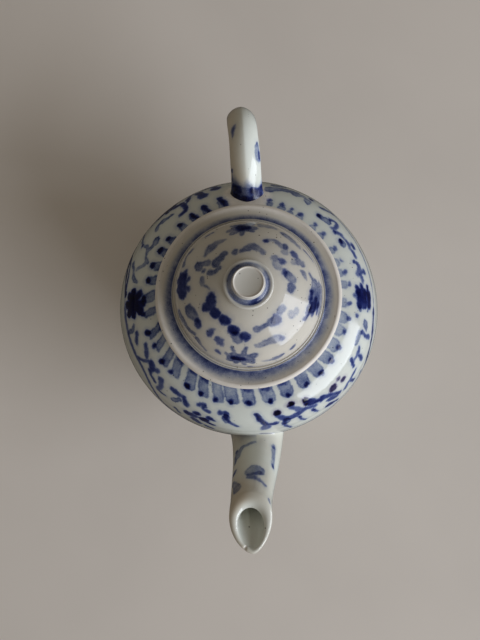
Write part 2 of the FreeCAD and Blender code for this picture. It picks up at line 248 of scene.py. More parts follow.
def evenly(path, spacing, closed=False):
    """The same profile with points about a spacing apart along it."""
    path = np.asarray(path, float)
    if closed:
        path = np.vstack([path, path[:1]])
    reach = reach_along(path)
    at = np.linspace(0, reach[-1], max(int(round(reach[-1] / spacing)), 3) + 1)
    points = np.column_stack([np.interp(at, reach, path[:, axis]) for axis in range(path.shape[1])])
    return points[:-1] if closed else points


def turned(profile, columns):
    """Grid r cos a, r sin a, z for each profile point (r, z) and each of equally spaced azimuths a."""
    azimuth = circle(columns)
    radius = profile[:, :1] * np.ones(columns)
    height = profile[:, 1:2] * np.ones(columns)
    return np.stack([radius * np.cos(azimuth), radius * np.sin(azimuth), height], -1)


def grid_piece(name, grid, ring=False, start_pole=None, end_pole=None):
    """Object from a grid of points in mm, rows by columns.

    Columns close on themselves and so do the rows of a ring. A pole is one point that a fan of triangles
    joins to the first or last row. All faces are turned round together if the volume they enclose comes out
    negative.
    """
    rows, columns = grid.shape[:2]
    index = np.arange(rows * columns).reshape(rows, columns)
    if ring:
        index = np.vstack([index, index[:1]])
    beside = np.roll(index, -1, axis=1)
    quads = np.stack([index[:-1], beside[:-1], beside[1:], index[1:]], -1).reshape(-1, 4)
    points = grid.reshape(-1, 3)
    triangles = np.zeros((0, 3), int)
    for pole, row in ((start_pole, index[0][::-1]), (end_pole, index[-1])):
        if pole is not None:
            fan = np.stack([row, np.roll(row, -1), np.full(columns, len(points))], -1)
            triangles = np.vstack([triangles, fan])
            points = np.vstack([points, pole])
    halves = np.vstack([quads[:, [0, 1, 2]], quads[:, [0, 2, 3]], triangles])
    first, second, third = (points[halves[:, k]] for k in range(3))
    if np.sum(first * np.cross(second, third)) < 0:
        quads = quads[:, ::-1]
        triangles = triangles[:, ::-1]
    mesh = bpy.data.meshes.new(name)
    mesh.from_pydata((points * MM).tolist(), [], quads.tolist() + triangles.tolist())
    mesh.update()
    piece = bpy.data.objects.new(name, mesh)
    bpy.context.scene.collection.objects.link(piece)
    return piece


def finish_piece(piece, node, body, material, sharp=50):
    """Smooth shading with sharp edges past an angle, the material, and the piece's place in the frame."""
    piece.data.shade_smooth()
    piece.data.set_sharp_from_angle(angle=math.radians(sharp))
    piece.data.materials.clear()
    piece.data.materials.append(material)
    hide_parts(node)
    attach(piece, body)


class PieceOperator:
    """What the operators of all pieces share."""

    def execute(self, context):
        """Builds with the sizes and colours in use; an error is left to stop the script."""
        self.build(sizes(), context.scene.teapot_colours)
        return {"FINISHED"}


# Brushwork


def eased(path, rounds=2):
    """Path with its corners cut: each round puts two points a quarter in from the ends of every run."""
    for _ in range(rounds):
        inner = np.empty((2 * len(path) - 2, path.shape[1]))
        inner[0::2] = 0.75 * path[:-1] + 0.25 * path[1:]
        inner[1::2] = 0.25 * path[:-1] + 0.75 * path[1:]
        path = np.vstack([path[:1], inner, path[-1:]])
    return path


class Painting:
    """Brushwork on an unrolled surface.

    A point has a turn in degrees round the piece, a height in mm along it and the radius in mm that unrolls
    the turn. Wash and ink each keep the signed distance to the nearest stroke and its strength; ink also
    keeps how purple it is. Ground keeps a soft band of blue, which is also painted shade in creases and at
    roots, how bare the clay is, and how warm the glaze is, which is also painted light and shade.
    An outline, rising heights and the radius at each, stands in where the points themselves can't give it.
    """

    def __init__(self, turn, height, radius, outline=None):
        spots = np.broadcast_arrays(turn, height, radius)
        self.shape = spots[0].shape
        self.turn, self.height, self.radius = (np.ravel(values) for values in spots)
        self.layers = {name: np.zeros((len(self.turn), 3)) for name in ("wash", "ink", "ground")}
        self.layers["wash"][:, 0] = FAR
        self.layers["ink"][:, 0] = FAR
        if outline is None:
            order = np.argsort(self.height)
            outline = (self.height[order], self.radius[order])
        self.outline = outline
        self.press = 1.0  # how much broader every stroke is than its width says

    def radius_at(self, height):
        """Radius that unrolls the surface at a height."""
        return np.interp(height, *self.outline)

    def unrolled(self, place):
        """How far every point is across and along from a place (turn, height), in mm."""
        across = np.radians((self.turn - place[0] + 180) % 360 - 180) * self.radius
        return across, self.height - place[1]

    def keep(self, layer, near, *values):
        """Sets a layer's values, the distance first, at the points where that distance is the least yet."""
        store = self.layers[layer]
        won = values[0] < store[near, 0]
        for column, value in enumerate(values):
            store[near[won], column] = np.broadcast_to(value, won.shape)[won]

    def stroke(self, place, points, layer=None, tint=0.0):
        """One stroke: runs between points (x, y, half width, strength) in mm about a place (turn, height).

        The distance to a run is the distance to the nearest point of its line, less the half width there.
        A stroke that starts pale is wash and any other is ink, unless its layer is given.
        """
        margin = 2.5
        points = np.array(points, float)
        layer = layer or ("wash" if points[0, 3] < PALE else "ink")
        points[:, 2] *= self.press
        reach = np.abs(points[:, :2]).max(0) + points[:, 2].max() + margin
        across, along = self.unrolled(place)
        near = np.nonzero((np.abs(across) < reach[0]) & (np.abs(along) < reach[1]))[0]
        spot = np.column_stack([across[near], along[near]])
        for start, end in zip(points[:-1], points[1:]):
            run = end[:2] - start[:2]
            share = np.clip((spot - start[:2]) @ run / max(run @ run, 1e-9), 0, 1)
            gap = np.linalg.norm(spot - start[:2] - share[:, None] * run, axis=1)
            width = start[2] + (end[2] - start[2]) * share
            strength = start[3] + (end[3] - start[3]) * share
            self.keep(layer, near, gap - width, strength, tint)

    def dab(self, path, start_width, end_width, strength, fade=0.75):
        """A stroke through places (turn, height), full at its start and paler towards its end.

        The hand wavers: the width swells and shrinks by a sixth along the way.
        """
        path = np.asarray(path, float)
        place = path.mean(0)
        across = np.radians(path[:, 0] - place[0]) * self.radius_at(path[:, 1])
        points = eased(np.column_stack([across, path[:, 1] - place[1]]))
        share = np.linspace(0, 1, len(points))
        width = start_width + (end_width - start_width) * share
        width = width * (1 + 0.16 * np.sin(6.5 * share + place[0]))
        tone = strength * (1 + (fade - 1) * share)
        self.stroke(place, np.column_stack([points, width, tone]))

    def dot(self, place, radius, strength, stretch=0.25, layer=None, tint=0.0):
        """A touch of the brush tip, a little longer than wide and never quite at the same slant."""
        slant = 0.7 * place[0] + place[1]
        tip = np.array([math.cos(slant), math.sin(slant)]) * stretch * radius
        self.stroke(place, [(*-tip, radius, strength), (*tip, radius * 0.9, strength)], layer, tint)

    def leaf(self, start, end, width, strength, bend=0.15, fade=0.6):
        """A brush leaf: pressed full before halfway and lifted to a point, bent to one side."""
        start = np.asarray(start, float)
        end = np.asarray(end, float)
        place = (start + end) / 2
        half = (end - start) / 2
        half[0] = math.radians(half[0]) * self.radius_at(place[1])
        side = np.array([-half[1], half[0]]) * bend
        t = np.linspace(-1, 1, 6)[:, None]
        centre = t * half + (1 - t * t) * side
        press = np.array([0.55, 0.95, 1.0, 0.8, 0.5, 0.15])[:, None] * width
        tone = strength * (1 + (fade - 1) * (t + 1) / 2)
        self.stroke(place, np.hstack([centre, press, tone]))

    def patch(self, place, wide, tall, lean, strength):
        """A wash filling a rounded oblong of half sizes wide and tall, leaning by a share of its height."""
        margin = 3.0
        across, along = self.unrolled(place)
        across = across - lean * along
        near = np.nonzero((np.abs(across) < wide + margin) & (np.abs(along) < tall + margin))[0]
        corner = 0.7 * wide
        over = np.column_stack([np.abs(across[near]) - wide, np.abs(along[near]) - tall]) + corner
        distance = np.linalg.norm(np.maximum(over, 0), axis=1) + np.minimum(over.max(1), 0) - corner
        self.keep("wash", near, distance, strength)

    def petals(self, place, strokes):
        """A flower in a few presses, each (x, y, x, y, half width, end half width, strength) in mm."""
        for start_x, start_y, end_x, end_y, width, end_width, strength in strokes:
            end = (end_x, end_y, end_width, strength * 0.85)
            self.stroke(place, [(start_x, start_y, width, strength), end])

    def rosette(self, place, count, across, up, strength, seed):
        """A flower of round petals about a dark heart, each petal longer or shorter by chance."""
        chance = np.random.default_rng(seed)
        width = 0.31 * min(across, up)
        strokes = [(-0.25 * across, 0, 0.25 * across, 0, 0.38 * up, 0.38 * up, strength * 1.1)]
        for k in range(count):
            angle = 2 * math.pi * (k + chance.uniform(-0.15, 0.15)) / count
            share = chance.uniform(0.72, 0.92)
            tip = (across * math.cos(angle) * share, up * math.sin(angle) * share)
            strokes.append((0.4 * tip[0], 0.4 * tip[1], *tip, width * 0.9, width, strength))
        self.petals(place, strokes)

    def line(self, middle, half_width, strength, where):
        """An ink line round the chosen points; all but the choice may be one number or one for each point."""
        near = np.nonzero(where)[0]
        distance = np.abs(self.height - middle) - half_width
        self.keep("ink", near, distance[near], np.broadcast_to(strength, distance.shape)[near])

    def ground(self, *values):
        """Sets the ground's band (blue, and painted shade), bareness and warm share (tone, and painted light
        and shade), each one number or one for each point.
        """
        for column, value in enumerate(values):
            self.layers["ground"][:, column] = np.broadcast_to(value, self.shape).ravel()

    def store(self, piece):
        """Keeps the layers on the piece as attributes; poles get bare glaze on the last point's ground."""
        for name, values in self.layers.items():
            full = np.zeros((len(piece.data.vertices), 3), np.float32)
            full[:, 0] = FAR
            full[: len(values)] = values
            if name == "ground":
                full[len(values):] = values[-1]
            attribute = piece.data.attributes.new(name, "FLOAT_VECTOR", "POINT")
            attribute.data.foreach_set("vector", full.ravel())


def paint_sprigs(painting, sprigs):
    """Paints strokes, each the name of a touch and what that touch takes."""
    for kind, *values in sprigs:
        getattr(painting, kind)(*values)


# Finishes


class Finish:
    """A procedural material, with short calls for its nodes."""

    def __init__(self, name):
        self.material = bpy.data.materials.new(name)
        self.material.use_nodes = True
        self.tree = self.material.node_tree
        self.shader = self.tree.nodes["Principled BSDF"]
        self.place = self.node("ShaderNodeTexCoord").outputs["Object"]

    def node(self, kind, inputs=None, **settings):
        """New node with settings, and inputs that are linked or set."""
        node = self.tree.nodes.new(kind)
        for key, value in settings.items():
            setattr(node, key, value)
        for key, value in (inputs or {}).items():
            self.put(node.inputs[key], value)
        return node

    def put(self, socket, value):
        """Links a socket to an output, or sets its value."""
        if isinstance(value, bpy.types.NodeSocket):
            self.tree.links.new(value, socket)
        elif hasattr(value, "__len__") and socket.type == "RGBA" and len(value) == 3:
            socket.default_value = (*value, 1)
        else:
            socket.default_value = value

    def shade(self, name, value):
        """Links or sets an input of the shader."""
        self.put(self.shader.inputs[name], value)

    def math(self, operation, first, second):
        """Difference, larger one or other operation on two numbers."""
        return self.node("ShaderNodeMath", {0: first, 1: second}, operation=operation).outputs[0]

    def plus(self, first, second):
        """Sum of two numbers."""
        return self.math("ADD", first, second)

    def times(self, first, second):
        """Product of two numbers."""
        return self.math("MULTIPLY", first, second)

    def noise(self, scale, detail=2.0, roughness=0.5):
        """Cloudy value about a half; the scale is in waves to a metre."""
        inputs = {"Vector": self.place, "Scale": scale, "Detail": detail, "Roughness": roughness}
        return self.node("ShaderNodeTexNoise", inputs).outputs["Fac"]

    def spread(self, value, low, high, start, end, smooth=True):
        """Maps low..high of a value onto start..end."""
        kind = "SMOOTHSTEP" if smooth else "LINEAR"
        inputs = {"Value": value, "From Min": low, "From Max": high, "To Min": start, "To Max": end}
        return self.node("ShaderNodeMapRange", inputs, interpolation_type=kind).outputs[0]

    def drift(self, start, end, scale, detail=3.0, roughness=0.5, smooth=True):
        """A noise whose usual range is mapped onto start..end."""
        return self.spread(self.noise(scale, detail, roughness), 0.3, 0.7, start, end, smooth)

    def mix(self, share, first, second, blend="MIX"):
        """Colour between two colours."""
        node = self.node("ShaderNodeMix", data_type="RGBA", blend_type=blend)
        for key, value in ((0, share), (6, first), (7, second)):
            self.put(node.inputs[key], value)
        return node.outputs[2]

    def power(self, pigment, density):
        """Colour to the power of a density, channel by channel."""
        return self.node("ShaderNodeGamma", {"Color": pigment, "Gamma": density}).outputs[0]

    def attribute(self, name):
        """The three numbers that a piece keeps at each point."""
        node = self.node("ShaderNodeAttribute", attribute_name=name)
        return tuple(self.node("ShaderNodeSeparateXYZ", {0: node.outputs["Vector"]}).outputs)

    def specks(self, scale, size, share):
        """Small round specks, in a share of the cells of a scattered pattern."""
        cells = self.node("ShaderNodeTexVoronoi", {"Vector": self.place, "Scale": scale, "Randomness": 1.0})
        round_spot = self.spread(cells.outputs["Distance"], size, size * 0.45, 0.0, 1.0)
        tone = self.node("ShaderNodeSeparateColor", {0: cells.outputs["Color"]}).outputs[0]
        return self.times(round_spot, self.math("LESS_THAN", tone, share))

    def bumps(self, height, strength, distance):
        """Small bumps from a height; the distance in metres is how high 1 is."""
        bump = self.node("ShaderNodeBump", {"Strength": strength, "Distance": distance, "Height": height})
        self.shade("Normal", bump.outputs[0])


def glaze(name, base, warm, bare, colours, speck_share, rim=0.35, index=GLAZE_INDEX):
    """Clear glaze over cobalt brushwork.

    Strokes: the distance to a stroke wanders with two noises, and a smooth step over its edge gives how much
    of it covers: soft for ink, firmer for a wash, whose pigment gathers at its rim. Strength and cloudy noise
    give the density. Colour: the ground times the cobalt's colour to the power of the density, as light is
    lost in stained glass.
    """
    finish = Finish(name)
    fine_wander = finish.times(finish.math("SUBTRACT", finish.noise(560, 3.0, 0.6), 0.5), 1.4)
    slow_wander = finish.times(finish.math("SUBTRACT", finish.noise(190), 0.5), 1.5)
    wander = finish.plus(fine_wander, slow_wander)
    cloud = finish.drift(0.5, 1.5, 230, 4.0, 0.62, smooth=False)
    grain = finish.drift(0.72, 1.28, 2300, 3.0, 0.7, smooth=False)
    uneven = finish.times(cloud, grain)
    less_uneven = finish.spread(uneven, 0.4, 1.6, 0.68, 1.32, smooth=False)
    # The ground's band is blue, and in creases, under the collar and at the spout's root it is painted shade.
    # Its warm share is the glaze's tone, and on the spout and handle it is also painted light and shade.
    band, clay, warmth_and_painted_light = finish.attribute("ground")
    stains = []
    for layer, inner in (("wash", rim - 0.75), ("ink", -0.85)):
        distance, strength, purple = finish.attribute(layer)
        distance = finish.plus(distance, wander)
        halo = finish.spread(distance, 2.2, 0.0, 0.0, 0.06)
        cover = finish.plus(finish.spread(distance, 0.5, inner, 0.0, 1.0), halo)
        if layer == "wash":
            gather = finish.spread(distance, -1.0, -0.25, 1.0 - rim / 2, 1.0 + rim / 2)
            density = finish.plus(finish.times(finish.times(cover, gather), strength), band)
            stains.append(finish.power(colours.thin_cobalt, finish.times(density, uneven)))
        else:
            pigment = finish.mix(purple, colours.cobalt, colours.berry)
            density = finish.times(cover, strength)
            stains.append(finish.power(pigment, finish.times(density, less_uneven)))
    clay = finish.plus(clay, finish.times(finish.times(wander, 0.5), clay))
    ground = finish.mix(finish.plus(warmth_and_painted_light, finish.drift(0.0, 0.45, 38)), base, warm)
    ground = finish.mix(clay, ground, bare)
    specks = finish.specks(330, 0.11, speck_share)
    fine_specks = finish.times(finish.specks(700, 0.2, 0.35 * speck_share), 0.75)
    ground = finish.mix(finish.math("MAXIMUM", specks, fine_specks), ground, colours.speck)
    tinting = finish.mix(1.0, *stains, "MULTIPLY")
    finish.shade("Base Color", finish.mix(1.0, ground, tinting, "MULTIPLY"))
    matt = finish.spread(clay, 0.0, 1.0, 0.055, 0.4, smooth=False)
    finish.shade("Roughness", finish.plus(matt, finish.drift(0.0, 0.045, 150)))
    height = finish.plus(finish.times(finish.noise(120), 1.6), finish.times(finish.noise(900), 0.16))
    finish.bumps(finish.math("SUBTRACT", height, finish.times(specks, 0.25)), 0.35, 0.0002)
    finish.shade("IOR", index)
    return finish.material


def biscuit(name, bare, tinting):
    """Bare fired clay: a cloudy stain, sandy grain, iron specks and fine bumps."""
    iron = (0.08, 0.06, 0.045)
    finish = Finish(name)
    ground = finish.mix(finish.drift(0.0, 1.0, 60, 4.0, 0.6), bare, tinting)
    grain = finish.noise(2400, 3.0, 0.7)
    ground = finish.mix(finish.spread(grain, 0.35, 0.7, 0.35, 0.0), ground, tinting)
    ground = finish.mix(finish.times(finish.specks(700, 0.2, 0.3), 0.7), ground, iron)
    finish.shade("Base Color", ground)
    finish.shade("Roughness", finish.spread(grain, 0.3, 0.7, 0.62, 0.85))
    finish.bumps(finish.plus(grain, finish.times(finish.noise(420, 3.0), 0.7)), 0.5, 0.00015)
    return finish.material


# Pot


def pot_semi(size):
    """Semi-axes of the pot's two half ellipses, above and below the belly."""
    belly = size["belly_radius"]
    middle = size["belly_height"]
    above = semi_axis(belly, size["collar_radius"], size["shoulder_height"] - middle)
    below = semi_axis(belly, size["foot_radius"], middle - size["foot_height"])
    return above, below


def wall_radius(size, height):
    """Radius of the lower belly's outside at a height."""
    _, below = pot_semi(size)
    return size["belly_radius"] * math.sqrt(1 - ((height - size["belly_height"]) / below) ** 2)


def shoulder_swell(radius, size):
    """How far the shoulder stands above its half ellipse: a sine to the power 1.5, fullest past halfway."""
    share = (radius - size["collar_radius"]) / (size["belly_radius"] - size["collar_radius"])
    return 2.6 * np.maximum(np.sin(math.pi * np.clip(share, 0, 1) ** 1.4), 0) ** 1.5


def pot_depth(points, size):
    """About how far points are outside the pot's wall, from the ellipse's equation times its radius."""
    above, below = pot_semi(size)
    radius = np.hypot(points[..., 0], points[..., 1])
    rise = points[..., 2] - size["belly_height"]
    rise = np.where(rise > 0, np.maximum(rise - shoulder_swell(radius, size), 0), rise)
    semi = np.where(rise > 0, above, below)
    return (np.hypot(radius / size["belly_radius"], rise / semi) - 1) * size["belly_radius"]


def pot_outline(size, inset, low, high):
    """Profile of both half ellipses drawn in by an inset, from a low height up to a high one."""
    above, below = pot_semi(size)
    radius = size["belly_radius"] - inset
    middle = size["belly_height"]
    start = math.asin((low - middle) / (below - inset))
    end = math.asin((high - middle) / (above - inset))
    lower = ellipse(middle, radius, below - inset, start, 0, 200)
    upper = ellipse(middle, radius, above - inset, 0, end, 200)
    upper[:, 1] += shoulder_swell(upper[:, 0] + inset, size)
    return np.vstack([lower, upper[1:]])


def hand_thrown(grid, size):
    """Moves the wall in and out by parts of a millimetre, in two slow waves round it and fine rings up it.

    Both fade out at the foot and at the shoulder, where other pieces meet the pot.
    """
    azimuth = np.arctan2(grid[..., 1], grid[..., 0])
    height = grid[..., 2]
    share = (height - size["foot_height"]) / (size["shoulder_height"] - size["foot_height"])
    fade = np.sin(math.pi * np.clip(share, 0, 1))
    slow = 0.3 * np.cos(2 * azimuth + 0.6) + 0.18 * np.cos(3 * azimuth + 2.0)
    rings = 0.05 * np.sin(height * 1.35 + 0.7 * np.sin(azimuth)) + 0.04 * np.sin(height * 0.62 + azimuth)
    radius = np.hypot(grid[..., 0], grid[..., 1])
    scale = 1 + fade * (slow + rings) / np.maximum(radius, 20)
    moved = grid.copy()
    moved[..., :2] *= scale[..., None]
    return moved


def pierce_strainer(pot, size):
    """Cuts the strainer through the wall behind the spout: a round hole with a ring of six about it."""
    ring = circle(6)
    centres = np.vstack([[0, 0], STRAINER_RING * np.column_stack([np.cos(ring), np.sin(ring)])])
    around = circle(24)
    ends = size["belly_radius"] * np.array([-0.5, -1.5])
    pegs = []
    for across, up in centres + (SPOUT_SIDE, SPOUT_HEIGHT):
        grid = np.zeros((len(ends), len(around), 3))
        grid[..., 0] = across + STRAINER_HOLE * np.cos(around)
        grid[..., 1] = ends[:, None]
        grid[..., 2] = up + STRAINER_HOLE * np.sin(around)
        pegs.append(grid_piece("peg", grid, False, (across, ends[0], up), (across, ends[1], up)))
        cut = pot.modifiers.new("strainer", "BOOLEAN")
        cut.operation = "DIFFERENCE"
        cut.solver = "MANIFOLD"
        cut.object = pegs[-1]
    bpy.context.view_layer.update()
    seen = pot.evaluated_get(bpy.context.evaluated_depsgraph_get())
    whole = pot.data
    pierced = bpy.data.meshes.new_from_object(seen)
    pot.modifiers.clear()
    pot.data = pierced
    bpy.data.meshes.remove(whole)
    for peg in pegs:
        mesh = peg.data
        bpy.data.objects.remove(peg)
        bpy.data.meshes.remove(mesh)


# Brushwork of the pot. Places are (turn in degrees from +X towards the handle, height in mm above the belly).

TONGUE_TURNS = (
    170, 161, 152, 143, 133, 124, 116, 106, 78, 70, 64, 58, 48, 41, 30, 22, 15, 8, -3, -12, -20, -29,
    -38, -47, -57, -68, -79, -90, -100, -108, -117, -125, -136, -144, -153, -161, -172, 180,
)  # fmt: skip

POT_SPRIGS = (
    # right vine
    ("dab", ((66, 27.5), (62.5, 25.5)), 1.7, 1.3, 0.36),
    ("dot", (58.5, 23.5), 1.1, 0.9),
    ("leaf", (60, 27), (58.5, 31), 1.7, 0.45),
    ("dab", ((52, 26.5), (49.5, 23.5), (46, 21)), 1.1, 0.9, 0.46),
    ("dot", (50, 33), 1.0, 0.95),
    ("dab", ((49.5, 33), (46.5, 32.5), (44.3, 31.8)), 1.4, 1.4, 0.46),
    ("dab", ((44.3, 29.5), (42, 27), (40.3, 28.5), (39.2, 32), (40.4, 33.2)), 1.1, 0.9, 0.52),
    ("dot", (38, 33.2), 1.1, 0.75),
    ("dab", ((37.7, 33), (35.7, 30.8), (33, 31)), 1.0, 0.9, 0.52),
    ("dot", (32.3, 33.7), 1.0, 0.9),
    ("leaf", (32.3, 33.7), (28.4, 33.7), 1.5, 0.44),
    ("dab", ((31.2, 30.5), (28.5, 30.3), (26, 31)), 0.9, 0.9, 0.52),
    ("dot", (27.3, 27.9), 1.4, 0.65),
    ("dab", ((26, 30.6), (23.5, 30), (21.5, 30)), 1.0, 0.8, 0.62),
    ("dot", (19.5, 32.2), 0.9, 0.95),
    ("dab", ((19.5, 32), (17.5, 30.2), (15, 30.4), (13, 32.4)), 1.0, 1.5, 0.52),
    ("dab", ((13, 32), (14, 27.2)), 0.9, 1.2, 0.7),
    ("dab", ((12.6, 30.5), (8.4, 30.3)), 1.1, 0.9, 0.56),
    # upper right
    ("dab", ((79.5, 30), (75.5, 28), (72, 27)), 2.1, 1.9, 0.42),
    ("dab", ((72, 27), (66, 24)), 2.0, 1.4, 0.44),
    ("dab", ((77.5, 24), (73, 22)), 1.7, 1.5, 0.34),
    # upper left
    ("dab", ((121.5, 11), (127, 12), (136, 13)), 2.4, 2.1, 1.2),
    ("dab", ((123, 13), (125.5, 16), (129, 18.5), (132.5, 19.5), (136, 19.5)), 2.1, 1.7, 1.25),
    ("dab", ((127.5, 17), (129, 23)), 1.8, 1.4, 1.25),
    ("dab", ((132.5, 17), (132, 23)), 1.7, 1.3, 1.2),
    ("dab", ((127, 24.8), (124.3, 25.2), (123.8, 31.5), (125, 33.3), (129, 33.5)), 1.6, 0.9, 0.95),
    ("dab", ((121.3, 27.5), (119.7, 22.5), (117.5, 19.5), (115, 22)), 1.1, 1.0, 0.9),
    ("dab", ((114.6, 23), (113.6, 29)), 1.5, 2.2, 0.8),
    ("dab", ((110.8, 20.5), (108.5, 19.5), (106.6, 22.5)), 1.1, 1.3, 0.75),
    ("dot", (106.2, 26), 2.1, 0.8),
    # left curls
    ("dab", ((150, 9), (156, 13), (161.5, 16), (167, 19), (171.5, 20.6), (176.7, 23.4)), 1.2, 1.3, 1.1),
    ("dot", (176.7, 23.4), 1.3, 1.2),
    ("dab", ((131.8, 29.3), (134.4, 29), (137.2, 27.6)), 0.9, 1.4, 0.38),
    ("dab", ((137.2, 27.4), (140, 26.7), (142.4, 29)), 1.4, 0.8, 0.46),
    ("dab", ((136.7, 20), (139, 17), (141.2, 17.5)), 0.8, 0.8, 0.42),
    ("dab", ((144.5, 13), (148.3, 20), (152, 25)), 0.8, 0.8, 0.32),
    ("dot", (152.8, 25.6), 1.1, 0.58),
    ("dab", ((152.5, 26), (152, 30.5), (154.5, 31.5)), 0.8, 0.7, 0.36),
    ("leaf", (145.8, 33), (151, 33.3), 1.4, 0.44),
    ("dab", ((151, 33.3), (154.5, 31.8), (157.5, 32.4), (160, 34.6)), 0.9, 0.7, 0.42),
    ("dab", ((161.6, 24), (165.4, 28), (170, 28.8), (171.2, 32)), 1.1, 0.7, 0.34),
    ("dab", ((165, 29.5), (163.3, 31.5), (161.3, 33.6)), 0.9, 0.6, 0.32),
    # lower left
    ("dab", ((-165.2, 23.4), (-165, 27.8), (-167.3, 29.5)), 1.0, 0.9, 0.42),
    ("dab", ((-162.8, 30), (-159, 28)), 1.1, 0.9, 0.66),
    ("dab", ((-156, 33), (-152.5, 31.5), (-150, 30)), 1.1, 1.1, 0.66),
    ("dab", ((-153, 23.4), (-150.5, 26), (-148.5, 29.3), (-147, 31)), 1.0, 1.0, 0.62),
    ("dab", ((-147, 31), (-144, 29.5)), 1.3, 1.9, 0.72),
    ("dab", ((-144, 29.4), (-141.5, 31)), 1.7, 1.1, 0.72),
    ("dab", ((-144, 27), (-142.5, 25.5), (-139, 24.3)), 1.3, 0.7, 0.78),
    ("dab", ((-137.2, 29), (-135, 26), (-136, 21)), 1.5, 1.1, 0.52),
    ("dab", ((-135.5, 21), (-131, 22.3)), 0.9, 0.7, 0.85),
    ("dab", ((-130.5, 30), (-126.5, 30), (-122.8, 30)), 1.2, 1.2, 0.6),
    ("dab", ((-123, 30), (-121, 27), (-120.5, 26)), 1.4, 1.0, 0.68),
    ("dab", ((-127.2, 23.5), (-124.5, 27)), 1.0, 1.3, 0.42),
    ("dab", ((-114.8, 30.5), (-113.4, 32.5), (-111.8, 32.5), (-113, 29.5), (-109, 29)), 0.9, 0.8, 0.68),
    ("dot", (-112.6, 31.2), 1.1, 0.36),
    ("dab", ((-118.4, 20.2), (-115.5, 20.7)), 2.0, 1.8, 0.78),
    ("dot", (-114.4, 24.3), 1.5, 0.8),
    ("dab", ((-115, 17), (-112.5, 15)), 1.9, 1.6, 0.72),
    ("dot", (-110.3, 21.3), 2.1, 1.3),
    ("dab", ((-108.5, 24.5), (-106, 23.6)), 1.3, 1.1, 1.1),
    ("dab", ((-108.5, 19.4), (-105.5, 18.8)), 1.0, 0.8, 1.1),
    ("dab", ((-109, 14.2), (-105.5, 13.2)), 0.8, 0.7, 0.7),
    ("dab", ((-124.2, 17), (-122.3, 14.6)), 1.0, 0.8, 0.42),
    ("dot", (-103.7, 30.3), 1.2, 0.68),
    ("dab", ((-101, 30.8), (-100.4, 27), (-98, 24.6), (-95, 22.4)), 1.2, 0.7, 0.68),
    ("leaf", (-101, 29.5), (-100.5, 24), 1.6, 0.44),
    # lower vine
    ("dab", ((-86, 31.2), (-84, 27.3), (-81.6, 23.2)), 1.3, 1.0, 1.05),
    ("leaf", (-81.5, 23), (-84, 17.5), 2.2, 0.56),
    ("dab", ((-81.6, 23.2), (-77.6, 23.4)), 1.0, 1.4, 0.85),
    ("dab", ((-73, 25.2), (-73.2, 22.5), (-73.8, 19.4), (-71, 13)), 1.2, 0.7, 0.68),
    ("leaf", (-72, 24.5), (-74.5, 20), 1.8, 0.46),
    ("dab", ((-76, 28.6), (-73.2, 25.6), (-70.2, 24.7), (-66.2, 25.6)), 1.5, 1.6, 0.62),
    ("dab", ((-66.2, 25.6), (-61.5, 26.4), (-57.8, 24.8)), 1.6, 1.3, 0.62),
    ("dab", ((-68, 31), (-65, 27)), 1.4, 1.5, 0.5),
    ("dab", ((-66, 22.5), (-65.6, 19), (-63.8, 16)), 0.7, 0.6, 0.9),
    ("dab", ((-59.4, 23.5), (-58.8, 20.5), (-57.4, 18)), 0.7, 0.7, 0.9),
    ("dab", ((-60.4, 29.8), (-58, 28), (-53.8, 25.8)), 1.6, 1.6, 1.05),
    ("dab", ((-53, 26.5), (-49, 24.5), (-45, 19.5)), 1.7, 1.3, 0.72),
    ("dab", ((-52, 16.5), (-47.6, 13.6)), 1.8, 1.1, 0.78),
    ("leaf", (-51, 22), (-46, 17), 1.8, 0.62),
    ("dab", ((-84, 11.8), (-79.5, 9.8)), 1.0, 0.8, 0.75),
    # lower right
    ("dot", (-9.2, 34.5), 0.8, 0.55),
    ("leaf", (-10.5, 29.5), (-15, 26.3), 1.4, 0.44),
    ("dab", ((-16, 29.5), (-17.2, 26), (-16.6, 21.7)), 0.7, 1.0, 0.65),
    ("dab", ((-17, 31), (-20.5, 30.8), (-22.7, 31)), 0.9, 0.9, 0.28),
    ("dab", ((-23.5, 27.8), (-26.6, 26.6), (-29.8, 27.4)), 1.2, 1.0, 0.55),
    ("dab", ((-26.6, 26), (-26.9, 20.8)), 0.8, 1.1, 0.8),
    ("dab", ((-30.5, 29), (-32, 25)), 0.9, 1.1, 0.75),
    ("dab", ((-32.7, 21.5), (-36, 20.6), (-39.2, 19.8), (-41.6, 18)), 1.0, 1.3, 0.55),
    ("dab", ((-37.4, 19.8), (-36.3, 15)), 0.7, 1.1, 0.8),
    ("dab", ((-30.8, 13), (-32, 12)), 0.7, 0.6, 0.4),
)

# The flower on the right: broad strokes side by side, three teeth above, with pale drips below.
POT_BLOCK_FLOWER = (
    (2.2, 3.4, -2.6, 3.2, 1.9, 1.8, 1.2),
    (2.2, 0.4, -2.6, 0.4, 2.1, 2.1, 1.25),
    (2.0, -3.0, -2.4, -3.2, 2.1, 2.0, 1.2),
    (2.0, 3.8, 4.6, 4.4, 1.1, 0.8, 1.1),
    (2.0, 1.2, 5.6, 1.8, 1.2, 0.9, 1.1),
    (2.0, -2.6, 5.0, -2.6, 1.3, 1.0, 1.1),
    (0.6, 5.0, 0.8, 6.0, 1.0, 0.9, 0.6),
    (-3.6, 3.0, -4.8, 3.0, 0.9, 0.7, 0.3),
    (-3.6, -2.2, -4.8, -2.2, 1.0, 0.8, 0.3),
)

# Purple black berries: place, radius and strength.
POT_BERRIES = (
    ((-60.8, 31.3), 1.35, 1.4),
    ((-68.1, 32.5), 1.55, 1.5),
    ((-76, 30.2), 1.6, 1.5),
    ((-60.2, 29.4), 1.45, 1.25),
    ((-57, 28), 1.15, 1.1),
    ((-46.3, 27.1), 2.2, 0.75),
    ((-40, 25.7), 1.5, 0.65),
    ((-41.5, 28.9), 1.1, 0.4),
)


def facing(turn, towards):
    """How much a turn faces another: the cosine of the angle between them, or 0 if it faces away."""
    return max(math.cos(math.radians(turn - towards)), 0)


